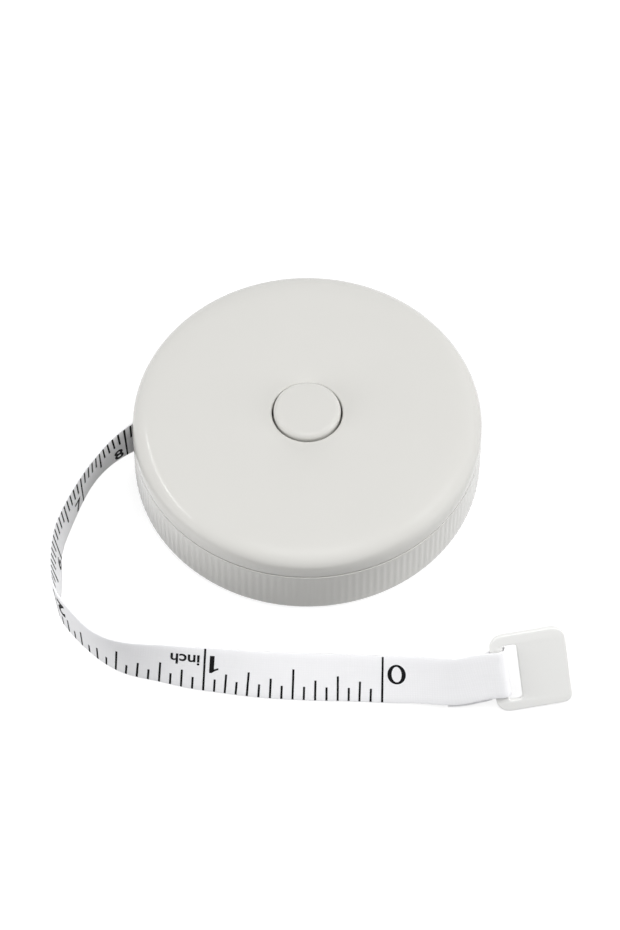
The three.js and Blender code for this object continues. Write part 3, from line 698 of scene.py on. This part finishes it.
def natural_cubic(parameter, values, where):
    """A natural cubic spline through rows of values, read at the parameters given."""
    count = len(parameter)
    step = np.diff(parameter)[:, None]
    slope = np.diff(values, axis=0) / step
    system = np.eye(count)
    target = np.zeros_like(values)
    for i in range(1, count - 1):
        before, after = step[i - 1, 0], step[i, 0]
        system[i, i - 1:i + 2] = before / 6, (before + after) / 3, after / 6
        target[i] = slope[i] - slope[i - 1]
    bend = np.linalg.solve(system, target)
    cell = np.clip(np.searchsorted(parameter, where) - 1, 0, count - 2)
    width = step[cell]
    left = (parameter[cell + 1][:, None] - where[:, None]) / width
    right = 1 - left
    curved = ((left ** 3 - left) * bend[cell] + (right ** 3 - right) * bend[cell + 1]) * width ** 2 / 6
    return left * values[cell] + right * values[cell + 1] + curved


def lengths_along(points):
    return np.concatenate([[0.0], np.cumsum(np.linalg.norm(np.diff(points, axis=0), axis=1))])


def rows_at(where, along, rows):
    """Rows of three values that lie along a line, read at other places on it."""
    return np.stack([np.interp(where, along, rows[:, k]) for k in range(3)], axis=1)


def unit(vectors):
    return vectors / np.linalg.norm(vectors, axis=-1, keepdims=True)


def on_tab(along, back):
    return np.array(TAB_MIDDLE + TAB_ALONG * along + TAB_BACK * back + TAB_TALL * LOOP_LIFT)


def tape_line():
    """The tape's middle line from the winding, round the tab's bar and back along its own inner face.
    Gives the distance along it from the mouth, the middle, the direction across, and the direction
    through it towards its inner face, with the number of stations before the loop and at the fold."""
    near_edge = -TAB_LENGTH / 2
    fold = near_edge + BAR_WIDTH / 2 + LOOP_PAST_BAR
    knots = [(*point, TAPE_MIDDLE, 0) for point in (LEAVING, (LEAVING + MOUTH) / 2, MOUTH)]
    knots += [(MOUTH.x + x, MOUTH.y + y, TAPE_MIDDLE + z, lean) for x, y, z, lean in TAPE_ROUTE]
    knots += [(*on_tab(reach, -LOOP_RADIUS * share), TAB_LEAN)
              for reach, share in ((near_edge - BAR_WIDTH / 2, LOOP_APPROACH), (fold, 1))]
    knots = np.array(knots)
    parameter = lengths_along(knots[:, :3])
    fine = np.linspace(0, parameter[-1], 40 * len(knots))
    measured = lengths_along(natural_cubic(parameter, knots, fine)[:, :3])
    even = np.linspace(0, measured[-1], round(measured[-1] / TAPE_STEP) + 1)
    route = natural_cubic(parameter, knots, np.interp(even, measured, fine))
    centre, lean = route[:, :3], np.radians(route[:, 3:])

    # Across: upright and leaned back, then turned into the tab's plane
    heading = unit(np.gradient(centre, axis=0) * (1, 1, 0))
    inward = np.stack([-heading[:, 1], heading[:, 0], 0 * heading[:, 0]], axis=1)
    across = inward * np.sin(lean) + np.array([0, 0, 1]) * np.cos(lean)
    settled = smoothstep(even / even[-1], 1 - SETTLING, 1)[:, None]
    across = across * (1 - settled) + np.array(TAB_TALL) * settled
    forward = unit(np.gradient(centre, axis=0))
    across = unit(across - forward * np.sum(across * forward, axis=1, keepdims=True))
    inner = np.cross(across, forward)

    # Round the bar's edge inside the slot
    angles = np.radians(np.linspace(-90, 90, 15))
    loop = np.array([on_tab(fold + LOOP_RADIUS * math.cos(a), LOOP_RADIUS * math.sin(a)) for a in angles])
    loop -= np.outer(smoothstep(angles, -math.pi / 2, math.pi / 2), np.array(TAB_TALL)) * TAIL_SLIP / 2

    # The tail leaves the bar's back and closes on the tape's inner face
    back = np.arange(0, TAIL_LENGTH, TAPE_STEP)
    offset = 2 * LOOP_RADIUS + (TAPE_THICKNESS + FIT_GAP - 2 * LOOP_RADIUS) * smoothstep(
        back, TAIL_LEAVES, TAIL_LEAVES + TAIL_CLOSING)
    slip = TAIL_SLIP * smoothstep(back, -BAR_WIDTH, BAR_WIDTH)
    under, sideways, inwards = (rows_at(even[-1] - back, even, rows) for rows in (centre, across, inner))
    tail = under + inwards * offset[:, None] - sideways * slip[:, None]

    middle = np.concatenate([centre, loop, tail])
    directions = np.concatenate([across, np.tile(np.array(TAB_TALL), (len(loop), 1)), sideways])
    through = unit(np.cross(directions, np.gradient(middle, axis=0)))
    along = lengths_along(middle)
    along -= along[np.argmin(np.linalg.norm(centre - (*MOUTH, TAPE_MIDDLE), axis=1))]
    return along, middle, directions, through, len(centre), len(centre) + len(loop) // 2


def tape_section():
    """The tape's cross-section as (across, through), with soft edges."""
    half, edge, thick = sizes().tape_width / 2, sizes().tape_edge, TAPE_THICKNESS / 2
    section = []
    for side, start in ((1, -90), (-1, 90)):
        flat = np.linspace(-side * (half - edge), side * (half - edge), 9)[:-1]
        section += [(x, -side * thick) for x in flat]
        for turn, steps in ((-1, 4), (1, 3)):
            corner = (side * (half - edge), turn * side * (thick - edge))
            first = start + 45 + 45 * turn
            section += arc(corner, edge, edge, first, first + 90, 3)[:steps]
    return np.array(section)


def lay_map(shape, along, sideways):
    """Gives the corners of a shape their places along the tape and across it."""
    shape.verts.index_update()
    layer = shape.loops.layers.uv.new(ALONG_MAP)
    for face in shape.faces:
        for loop in face.loops:
            loop[layer].uv = (along[loop.vert.index], sideways[loop.vert.index])


def tape_mesh():
    along, middle, across, through, _, _ = tape_line()
    section = tape_section()
    wide, thick = section[None, :, :1], section[None, :, 1:]
    places = middle[:, None] + across[:, None] * wide + through[:, None] * thick
    shape = bmesh.new()
    rings = [[shape.verts.new(place) for place in ring] for ring in places]
    joined_rings(shape, rings)
    for end in (rings[0], rings[-1]):
        shape.faces.new(end)
    lay_map(shape, np.repeat(along, len(section)), np.tile(section[:, 0], len(along)))
    return mesh_from(shape, "cloth_tape")


# Print


def line_tree(inputs, steps):
    """Lines that hang from the tape's edge. Each line whose number a step divides takes that step's length,
    the last such step winning."""
    tree, given = new_geometry_tree("printed_lines", inputs)
    number = add_node(tree, "GeometryNodeInputIndex")
    length = 0.0
    for step in steps:
        rest = add_node(tree, "ShaderNodeMath", {0: number, 1: step}, operation="MODULO")
        whole = add_node(tree, "ShaderNodeMath", {0: rest, 1: 0.5}, operation="LESS_THAN")
        length = add_node(
            tree, "GeometryNodeSwitch", {"Switch": whole, "False": length, "True": given[f"Length {step}"]},
            input_type="FLOAT")
    start = add_node(tree, "ShaderNodeCombineXYZ", {"Y": given["Edge"]})
    stride = add_node(tree, "ShaderNodeCombineXYZ", {"X": given["Spacing"]})
    places = add_node(
        tree, "GeometryNodeMeshLine", {"Count": given["Lines"], "Start Location": start, "Offset": stride})
    block = add_node(tree, "GeometryNodeMeshCube", {"Size": (1.0, 1.0, 1.0)})
    hung = add_node(tree, "GeometryNodeTransform", {"Geometry": block, "Translation": (0.0, -0.5, 0.0)})
    scale = add_node(
        tree, "ShaderNodeCombineXYZ", {"X": given["Line width"], "Y": length, "Z": given["Ink"]})
    lines = add_node(
        tree, "GeometryNodeInstanceOnPoints", {"Points": places, "Instance": hung, "Scale": scale})
    return end_geometry_tree(tree, lines, given["Material"])


def flat_lines(spacing, shares, material):
    """The lines of one scale, laid out flat: +X towards the mouth and +Y towards the edge that they hang
    from."""
    width, edge = sizes().tape_width, sizes().tape_edge
    inputs = {
        "Lines": int((ZERO_FROM_MOUTH + SCALE_IN_CASE) / spacing) + 1, "Spacing": spacing,
        "Line width": printing().line_width, "Ink": printing().ink * 2, "Edge": width / 2 - edge,
        "Material": material,
    }
    inputs.update({f"Length {step}": min(width * share, width - 2 * edge) for step, share in shares.items()})
    piece = new_piece("lines", bpy.data.meshes.new("lines"))
    run_tree(piece, line_tree(inputs, shares), inputs)
    return piece


def flat_figure(curve, height, floor, right=None, left=None):
    """Lays a flat curve's lettering out at its height, as a closed slab cut into narrow strips, so that it
    can bend."""
    curve.extrude = 0.5
    shape = filled(curve, 1e-5)
    corners = np.array([v.co for v in shape.verts])
    low, high = corners.min(0), corners.max(0)
    scale = height / (high[1] - low[1])
    width = (high[0] - low[0]) * scale
    left = right - width if left is None else left
    for v in shape.verts:
        v.co = (left + (v.co.x - low[0]) * scale, floor + (v.co.y - low[1]) * scale,
                v.co.z * 2 * printing().ink)
    for cut in np.arange(left, left + width, GLYPH_STEP)[1:]:
        everything = shape.verts[:] + shape.edges[:] + shape.faces[:]
        bmesh.ops.bisect_plane(shape, geom=everything, plane_co=(cut, 0, 0), plane_no=(1, 0, 0), dist=1e-7)
    return new_piece("figure", mesh_from(shape, "figure"))


def lettering(text, weight):
    """Plain lettering, with its strokes made heavier by a share of its size."""
    curve = bpy.data.curves.new("lettering", "FONT")
    curve.body = text
    curve.offset = weight
    curve.resolution_u = 5
    return curve


# Figures are drawn in millimetres, because doubles are merged at a distance that suits lettering's own size


def wide_zero():
    """A round zero, broader at its sides than at its top and bottom."""
    form = printing()
    wide, tall = form.zero_width / 2, form.inch_height / 2
    return drawn([arc((0, 0), wide, tall, 0, 351, 39),
                  arc((0, 0), wide - form.zero_side, tall - form.zero_cap, 0, 351, 39)], MM)


def flagged_one():
    """A one without a foot: a heavy stem and a flag that falls away to its left."""
    top, flag, stem = printing().one_height, printing().one_width, printing().one_stem
    return drawn([[
        (0, 0), (0, top), (-stem * 0.55, top), (-stem, top * 0.9), (-flag * 0.8, top * 0.82),
        (-flag, top * 0.79), (-flag, top * 0.68), (-stem, top * 0.77), (-stem, 0)]], MM)


def metric_figures():
    """Each figure stands on the tab's side of its line, near the lower edge."""
    floor = -sizes().tape_width / 2 + printing().metric_margin
    return [
        flat_figure(lettering(str(count), METRIC_WEIGHT), printing().metric_height, floor,
                    right=count * CENTIMETRE - printing().figure_gap)
        for count in range(1, 9)
    ]


def inch_figures():
    """Bold figures on the tab's side of their lines, and a unit word after the first inch."""
    form = printing()
    floor = -sizes().tape_width / 2 + form.inch_margin
    figures = [(wide_zero(), form.inch_height), (flagged_one(), form.one_height)]
    figures += [(lettering(str(count), INCH_WEIGHT), form.inch_height) for count in (2, 3)]
    unit_word = flat_figure(
        lettering("inch", UNIT_WEIGHT), form.unit_height, floor, left=INCH + form.figure_gap)
    return [flat_figure(curve, height, floor, right=count * INCH - form.figure_gap)
            for count, (curve, height) in enumerate(figures)] + [unit_word]


def printed(name, flat_pieces, inner_face, material):
    """Joins flat lettering and lines, and lays them on one face of the tape: x runs back from the zero line
    towards the mouth, y towards the edge that the lines hang from, z out of the surface."""
    along, middle, across, through, on_route, _ = tape_line()
    shape = bmesh.new()
    for piece in flat_pieces:
        shape.from_mesh(piece.data)
        bpy.data.objects.remove(piece)
    flat = np.array([v.co for v in shape.verts])
    side = 1 if inner_face else -1
    where, sideways = ZERO_FROM_MOUTH - flat[:, 0], side * flat[:, 1]
    proud = side * (TAPE_THICKNESS / 2 + flat[:, 2])
    centre, aside, out = (rows_at(where, along[:on_route], rows[:on_route])
                          for rows in (middle, across, through))
    lay_map(shape, where, sideways)
    for v, place in zip(shape.verts, centre + aside * sideways[:, None] + out * proud[:, None]):
        v.co = place
    # The flat pieces' faces are right, and turning slabs this thin once they are bent would spoil them
    return new_piece(name, mesh_from(shape, name, turn=False), material)


# Operators


class TAPEMEASURE_OT_stage(bpy.types.Operator):
    """Set up the camera, the floor and the soft studio light"""

    bl_idname = "tape_measure.stage"
    bl_label = "Stage"

    def execute(self, context):
        self.camera(context)
        self.floor()
        self.world(context)
        for name, light in LAMPS.items():
            self.lamp(name, *light)
        return {"FINISHED"}

    def camera(self, context):
        camera = new_piece("camera", bpy.data.cameras.new("camera"))
        camera.location = CAMERA_EYE
        camera.rotation_euler = (CAMERA_TILT, 0, 0)
        camera.data.lens = CAMERA_LENS
        context.scene.camera = camera
        context.scene.view_settings.view_transform = "Standard"

    def lamp(self, name, bearing, height, size, power):
        """A soft light aimed at the middle of the object."""
        bearing, height = math.radians(bearing), math.radians(height)
        light = bpy.data.lights.new(name, "AREA")
        light.shape = "RECTANGLE"
        light.size, light.size_y = size
        light.energy = power
        lamp = new_piece(name, light)
        lamp.location = Vector((math.cos(bearing) * math.cos(height), math.sin(bearing) * math.cos(height),
                                math.sin(height))) * LAMP_DISTANCE
        lamp.rotation_euler = lamp.location.to_track_quat("Z", "Y").to_euler()
        lamp.visible_glossy = name == MIRRORED_LAMP

    def seen(self, tree):
        """Whether a ray comes from the camera, or by a mirror or a clear pane."""
        rays = add_node(tree, "ShaderNodeLightPath").outputs
        either = add_node(
            tree, "ShaderNodeMath", {0: rays["Is Camera Ray"], 1: rays["Is Glossy Ray"]}, operation="MAXIMUM")
        return add_node(
            tree, "ShaderNodeMath", {0: either, 1: rays["Is Transmission Ray"]}, operation="MAXIMUM")

    def floor(self):
        """Matt white paper. Seen directly it is lifted to white, and the object's shadow stays on it."""
        corners = [(x * PAPER_REACH, y * PAPER_REACH, -PAPER_DROP)
                   for x, y in ((-1, -1), (1, -1), (1, 1), (-1, 1))]
        mesh = bpy.data.meshes.new("floor")
        mesh.from_pydata(corners, [], [(0, 1, 2, 3)])
        material = bpy.data.materials.new("white_paper")
        material.use_nodes = True
        tree = material.node_tree
        tree.nodes.clear()
        lifted = add_node(tree, "ShaderNodeEmission", {"Strength": PAPER_GLOW})
        faint = add_node(tree, "ShaderNodeBsdfDiffuse", {"Color": linear(PAPER_SEEN)})
        bright = add_node(tree, "ShaderNodeAddShader", {0: lifted, 1: faint})
        paper = add_node(tree, "ShaderNodeBsdfDiffuse", {"Color": tuple(colours().floor)})
        shader = add_node(tree, "ShaderNodeMixShader", {0: self.seen(tree), 1: paper, 2: bright})
        add_node(tree, "ShaderNodeOutputMaterial", {0: shader})
        new_piece("floor", mesh, material)

    def world(self, context):
        """An even white room: white where it is seen, and a low fill elsewhere."""
        world = bpy.data.worlds.new("room")
        context.scene.world = world
        world.use_nodes = True
        tree = world.node_tree
        tree.nodes.clear()
        fill, white = [add_node(tree, "ShaderNodeBackground", {"Color": (1, 1, 1, 1), "Strength": strength})
                       for strength in (ROOM_FILL, 1.0)]
        shader = add_node(tree, "ShaderNodeMixShader", {0: self.seen(tree), 1: fill, 2: white})
        add_node(tree, "ShaderNodeOutputWorld", {0: shader})


class TAPEMEASURE_OT_end_tab(bpy.types.Operator):
    """Mould the flat end tab with its slot"""

    bl_idname = "tape_measure.end_tab"
    bl_label = "End Tab"

    def execute(self, context):
        form = sizes()
        corners = (form.tab_corner, form.tab_corner, form.tab_corner, form.tab_small_corner)
        slot_middle = -TAB_LENGTH / 2 + BAR_WIDTH + SLOT_WIDTH / 2
        slot_height = form.tape_width + form.slot_play
        curve = drawn([self.rounded(0, TAB_LENGTH, form.tab_height, corners),
                       self.rounded(slot_middle, SLOT_WIDTH, slot_height, [form.slot_corner] * 4)])
        curve.extrude = TAB_THICKNESS / 2 - form.tab_edge
        curve.bevel_depth = form.tab_edge
        curve.bevel_resolution = 4
        curve.offset = -form.tab_edge
        shape = filled(curve, 1e-7)
        # The curve's plane becomes along and across the tape, and its thickness through it
        for v in shape.verts:
            v.co = TAB_MIDDLE + TAB_ALONG * v.co.x + TAB_TALL * v.co.y - TAB_BACK * v.co.z
        tab = new_piece("end_tab_moulded", mesh_from(shape, "end_tab_moulded"), satin_polypropylene())
        shade(tab, 30)
        seat(tab, "tab", "tab_plastic", "end_tab")
        return {"FINISHED"}

    def rounded(self, middle, width, height, radii):
        """A rectangle's outline with a radius for each corner: far top, near top, near bottom, far bottom."""
        outline = []
        for quarter, ((right, top), radius) in enumerate(zip(((1, 1), (-1, 1), (-1, -1), (1, -1)), radii)):
            centre = (middle + right * (width / 2 - radius), top * (height / 2 - radius))
            outline += arc(centre, radius, radius, 90 * quarter, 90 * quarter + 90, 10)
        return outline


class TAPEMEASURE_OT_scales(bpy.types.Operator):
    """Print the centimetres on the tape's inner face and the inches on its outer face"""

    bl_idname = "tape_measure.scales"
    bl_label = "Printed Scales"

    def execute(self, context):
        ink = print_ink()
        metric = [flat_lines(CENTIMETRE / 10, METRIC_LINES, ink), *metric_figures()]
        inches = [flat_lines(INCH / 16, INCH_LINES, ink), *inch_figures()]
        for name, pieces, inner_face in (("metric_scale", metric, True), ("inch_scale", inches, False)):
            seat(printed(name, pieces, inner_face, ink), "case", None)
        return {"FINISHED"}


class TAPEMEASURE_OT_free_tape(bpy.types.Operator):
    """Lay the cloth tape along its route and loop it round the end tab's bar"""

    bl_idname = "tape_measure.free_tape"
    bl_label = "Free Tape"

    def execute(self, context):
        tape = new_piece("cloth_tape", tape_mesh(), coated_cloth())
        shade(tape, 50)
        seat(tape, "case", "tape_cloth", "free_tape")
        _, middle, _, _, _, fold = tape_line()
        return {"FINISHED"}


class TAPEMEASURE_OT_upper_shell(bpy.types.Operator):
    """Mould the smooth upper half of the case"""

    bl_idname = "tape_measure.upper_shell"
    bl_label = "Upper Shell"

    def execute(self, context):
        form = sizes()
        rim = form.seam_height + form.seam_gap / 2
        bead = rim - BEAD_DROP
        shoulder = (CASE_RADIUS - form.shoulder_width, CASE_HEIGHT - form.shoulder_drop)
        rim_corner = (CASE_RADIUS - form.rim_rounding, rim + form.rim_rounding)
        corner = (INTERIOR_RADIUS - CORNER_ROUNDING, CASE_CEILING - CORNER_ROUNDING)
        bore = (BUTTON_BORE + form.bore_rounding, CASE_HEIGHT - form.bore_rounding)
        profile = [
            *arc(bore, form.bore_rounding, form.bore_rounding, 180, 90, 6),
            *arc(shoulder, form.shoulder_width, form.shoulder_drop, 90, 0, 40, 2 / form.shoulder_fullness),
            *arc(rim_corner, form.rim_rounding, form.rim_rounding, 0, -90, 4),
            (TONGUE_RADIUS, rim),
            (TONGUE_RADIUS, bead + BEAD_HEIGHT),
            (TONGUE_RADIUS + BEAD_DEPTH, bead),
            (TONGUE_RADIUS, bead - BEAD_HEIGHT),
            (TONGUE_RADIUS, TONGUE_FLOOR),
            (INTERIOR_RADIUS, TONGUE_FLOOR),
            *arc(corner, CORNER_ROUNDING, CORNER_ROUNDING, 0, 90, 8),
            (RUNNING_RING_OUTER, CASE_CEILING),
            (RUNNING_RING_OUTER, RUNNING_RING_FLOOR),
            (RUNNING_RING_INNER, RUNNING_RING_FLOOR),
            (RUNNING_RING_INNER, CASE_CEILING),
            (COLLAR_RADIUS, CASE_CEILING),
            (COLLAR_RADIUS, COLLAR_FLOOR),
            (BUTTON_BORE, COLLAR_FLOOR),
        ]
        shell = new_piece(
            "upper_shell_moulded", revolve("upper_shell", profile, UPPER_SEGMENTS), glossy_abs())
        slots = [radial_box(BUTTON_RADIUS, COLLAR_RADIUS + OVERRUN, KEY_WIDTH + 2 * FIT_GAP,
                            COLLAR_FLOOR - OVERRUN, CASE_CEILING, bearing) for bearing in KEY_BEARINGS]
        combine(shell, [mouth_funnel(), *slots], "DIFFERENCE")
        shade(shell)
        seat(shell, "case", "case_abs", "upper_shell")
        return {"FINISHED"}


class TAPEMEASURE_OT_lower_shell(bpy.types.Operator):
    """Mould the lower half of the case, with its grip ribs and centre post"""

    bl_idname = "tape_measure.lower_shell"
    bl_label = "Lower Shell"

    def execute(self, context):
        form = sizes()
        rim = form.seam_height - form.seam_gap / 2
        bead = form.seam_height + form.seam_gap / 2 - BEAD_DROP
        ledge = TONGUE_FLOOR - FIT_GAP
        edge = (CASE_RADIUS - form.base_rounding, form.base_rounding)
        rim_corner = (CASE_RADIUS - form.rim_rounding, rim - form.rim_rounding)
        corner = (INTERIOR_RADIUS - CORNER_ROUNDING, BASE_THICKNESS + CORNER_ROUNDING)
        fading = form.rib_depth * 2
        profile = [
            (0.0, 0.0),
            *arc(edge, form.base_rounding, form.base_rounding, -90, 0, 8),
            (CASE_RADIUS, (form.base_rounding + rim) / 2),
            *[(CASE_RADIUS, rim_corner[1] - fading * share) for share in (1.5, 1.0, 0.67, 0.33)],
            *arc(rim_corner, form.rim_rounding, form.rim_rounding, 0, 90, 3),
            (REBATE_RADIUS, rim),
            (REBATE_RADIUS, bead + BEAD_HEIGHT),
            (REBATE_RADIUS + BEAD_DEPTH, bead),
            (REBATE_RADIUS, bead - BEAD_HEIGHT),
            (REBATE_RADIUS, ledge),
            (INTERIOR_RADIUS, ledge),
            *arc(corner, CORNER_ROUNDING, CORNER_ROUNDING, 0, -90, 6),
            (BOSS_RADIUS, BASE_THICKNESS),
            (BOSS_RADIUS, BOSS_TOP),
            (POST_RADIUS, BOSS_TOP),
            (POST_RADIUS, POST_TOP),
            (SPIGOT_RADIUS, POST_TOP),
            (SPIGOT_RADIUS, SPIGOT_TOP),
            (0.0, SPIGOT_TOP),
        ]
        material = bpy.data.materials.get("glossy_abs") or glossy_abs()
        shell = new_piece(
            "lower_shell_moulded", revolve("lower_shell", profile, SEGMENTS_PER_RIB * form.rib_count),
            material)
        inputs = {
            "Ribs": form.rib_count, "Depth": form.rib_depth, "Radius": CASE_RADIUS - form.base_rounding / 3,
            "Floor": form.base_rounding / 4, "Full from": form.base_rounding,
            "Full to": rim_corner[1] - fading, "Top": rim_corner[1], "Material": material,
        }
        run_tree(shell, self.rib_tree(inputs), inputs)
        split = radial_box(-POST_RADIUS - OVERRUN, POST_RADIUS + OVERRUN, HOOK_SLOT, BOSS_TOP + 2 * FIT_GAP,
                           SPIGOT_TOP + OVERRUN, TANG_BEARING)
        combine(shell, [mouth_funnel(), split], "DIFFERENCE")
        shade(shell, 40)
        seat(shell, "case", "case_abs", "lower_shell")
        return {"FINISHED"}

    def rib_tree(self, inputs):
        """Draws the outer wall in by a wave round the case, which fades out at the base and at the rim."""
        tree, given = new_geometry_tree("grip_ribs", inputs)
        place = add_node(tree, "ShaderNodeSeparateXYZ", {0: add_node(tree, "GeometryNodeInputPosition")})
        x, y, z = place.outputs
        bearing = add_node(tree, "ShaderNodeMath", {0: y, 1: x}, operation="ARCTAN2")
        turned = add_node(tree, "ShaderNodeMath", {0: bearing, 1: given["Ribs"]}, operation="MULTIPLY")
        wave = add_node(tree, "ShaderNodeMath", {0: turned}, operation="COSINE")
        share = add_node(tree, "ShaderNodeMapRange", {"Value": wave, "From Min": -1.0, "From Max": 1.0})
        rising = add_node(
            tree, "ShaderNodeMapRange",
            {"Value": z, "From Min": given["Floor"], "From Max": given["Full from"]},
            interpolation_type="SMOOTHSTEP")
        falling = add_node(
            tree, "ShaderNodeMapRange", {"Value": z, "From Min": given["Top"], "From Max": given["Full to"]})
        for factor in (rising, falling, given["Depth"], -1.0):
            share = add_node(tree, "ShaderNodeMath", {0: share, 1: factor}, operation="MULTIPLY")
        plan = add_node(tree, "ShaderNodeCombineXYZ", {"X": x, "Y": y})
        radius = add_node(tree, "ShaderNodeVectorMath", {0: plan}, operation="LENGTH")
        outer = add_node(
            tree, "ShaderNodeMath", {0: radius.outputs["Value"], 1: given["Radius"]},
            operation="GREATER_THAN")
        outward = add_node(tree, "ShaderNodeVectorMath", {0: plan}, operation="NORMALIZE")
        offset = add_node(tree, "ShaderNodeVectorMath", {0: outward, "Scale": share}, operation="SCALE")
        ribbed = add_node(
            tree, "GeometryNodeSetPosition",
            {"Geometry": given["Start"], "Selection": outer, "Offset": offset})
        return end_geometry_tree(tree, ribbed, given["Material"])


class TAPEMEASURE_OT_push_button(bpy.types.Operator):
    """Mould the push button with its keys and sleeve"""

    bl_idname = "tape_measure.push_button"
    bl_label = "Push Button"

    def execute(self, context):
        form = sizes()
        shoulder = (BUTTON_RADIUS - form.button_edge, BUTTON_TOP - form.button_crown - form.button_edge_drop)
        profile = [
            *[(shoulder[0] * share, BUTTON_TOP - form.button_crown * share ** 2)
              for share in (0, 0.25, 0.5, 0.75)],
            *arc(shoulder, form.button_edge, form.button_edge_drop, 90, 0, 18),
            (BUTTON_RADIUS, DISC_TOP),
            (SLEEVE_OUTER, DISC_TOP),
            (SLEEVE_OUTER, SLEEVE_FLOOR),
            (SLEEVE_INNER, SLEEVE_FLOOR),
            (SLEEVE_INNER, BUTTON_ROOF),
            (0.0, BUTTON_ROOF),
        ]
        button = new_piece(
            "push_button_moulded", revolve("push_button", profile, BUTTON_SEGMENTS), handled_abs())
        keys = [radial_box(SLEEVE_OUTER - FIT_GAP, BUTTON_RADIUS + KEY_REACH, KEY_WIDTH, DISC_TOP + FIT_GAP,
                           CASE_CEILING - FIT_GAP, bearing) for bearing in KEY_BEARINGS]
        combine(button, keys, "UNION")
        shade(button, 45)
        seat(button, "button", "button_abs", "push_button")
        return {"FINISHED"}


class TAPEMEASURE_OT_springs(bpy.types.Operator):
    """Wind the button's coil spring and finish the power spring"""

    bl_idname = "tape_measure.springs"
    bl_label = "Springs"

    def execute(self, context):
        steel = spring_steel()
        floor = POST_TOP + FIT_GAP + WIRE / 2
        ceiling = BUTTON_ROOF - FIT_GAP - WIRE / 2
        inputs = {
            "Turns": (ceiling - floor) / WIRE_PITCH, "Radius": SPIGOT_RADIUS + FIT_GAP + WIRE / 2,
            "Height": ceiling - floor, "Wire radius": WIRE / 2, "Floor": floor, "Material": steel,
        }
        coil = new_piece("button_spring_wound", bpy.data.meshes.new("coil"))
        run_tree(coil, self.coil_tree(inputs), inputs)
        shade(coil, 60)
        seat(coil, "case", "spring_steel", "button_spring")
        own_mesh(coil)
        dress("power_spring", steel)
        return {"FINISHED"}

    def coil_tree(self, inputs):
        """A round wire wound into a helix."""
        tree, given = new_geometry_tree("wound_wire", inputs)
        helix = add_node(
            tree, "GeometryNodeCurveSpiral",
            {"Resolution": 48, "Rotations": given["Turns"], "Start Radius": given["Radius"],
             "End Radius": given["Radius"], "Height": given["Height"]})
        wire = add_node(
            tree, "GeometryNodeCurvePrimitiveCircle", {"Resolution": 14, "Radius": given["Wire radius"]})
        swept = add_node(
            tree, "GeometryNodeCurveToMesh", {"Curve": helix, "Profile Curve": wire, "Fill Caps": True})
        lift = add_node(tree, "ShaderNodeCombineXYZ", {"Z": given["Floor"]})
        raised = add_node(tree, "GeometryNodeTransform", {"Geometry": swept, "Translation": lift})
        return end_geometry_tree(tree, raised, given["Material"])


class TAPEMEASURE_OT_inner_parts(bpy.types.Operator):
    """Finish the drum, the brake and the wound tape inside the case"""

    bl_idname = "tape_measure.inner_parts"
    bl_label = "Inner Parts"

    def execute(self, context):
        acetal = natural_acetal()
        for name in ("drum", "drum_cover", "brake_ring", "brake_disc"):
            dress(name, acetal)
        dress("brake_lining", moulded_rubber())
        dress("tape_winding", wound_cloth())
        return {"FINISHED"}


OPERATORS = (
    TAPEMEASURE_OT_stage,
    TAPEMEASURE_OT_end_tab,
    TAPEMEASURE_OT_scales,
    TAPEMEASURE_OT_free_tape,
    TAPEMEASURE_OT_upper_shell,
    TAPEMEASURE_OT_lower_shell,
    TAPEMEASURE_OT_push_button,
    TAPEMEASURE_OT_springs,
    TAPEMEASURE_OT_inner_parts,
)


class TAPEMEASURE_PT_pieces(bpy.types.Panel):
    """Sizes, colours and pieces of the tape measure"""

    bl_idname = "TAPEMEASURE_PT_pieces"
    bl_label = "Cloth Tape Measure"
    bl_space_type = "VIEW_3D"
    bl_region_type = "UI"
    bl_category = "Tape Measure"

    def draw(self, context):
        for group in (sizes(), printing(), colours()):
            column = self.layout.column(align=True)
            for name in group.__annotations__:
                column.prop(group, name)
        column = self.layout.column(align=True)
        for operator in OPERATORS:
            column.operator(operator.bl_idname)


GROUPS = {
    "tape_measure_sizes": TapeMeasureSizes,
    "tape_measure_print": TapeMeasurePrint,
    "tape_measure_colours": TapeMeasureColours,
}
CLASSES = (*GROUPS.values(), *OPERATORS, TAPEMEASURE_PT_pieces)


def register():
    for made in CLASSES:
        bpy.utils.register_class(made)
    for name, group in GROUPS.items():
        setattr(bpy.types.Scene, name, bpy.props.PointerProperty(type=group))


def unregister():
    for name in GROUPS:
        delattr(bpy.types.Scene, name)
    for made in reversed(CLASSES):
        bpy.utils.unregister_class(made)


def main():
    register()
    bpy.ops.tape_measure.stage()
    bpy.ops.tape_measure.end_tab()
    bpy.ops.tape_measure.scales()
    bpy.ops.tape_measure.free_tape()
    bpy.ops.tape_measure.upper_shell()
    bpy.ops.tape_measure.lower_shell()
    bpy.ops.tape_measure.push_button()
    bpy.ops.tape_measure.springs()
    bpy.ops.tape_measure.inner_parts()


if __name__ == "__main__":
    main()
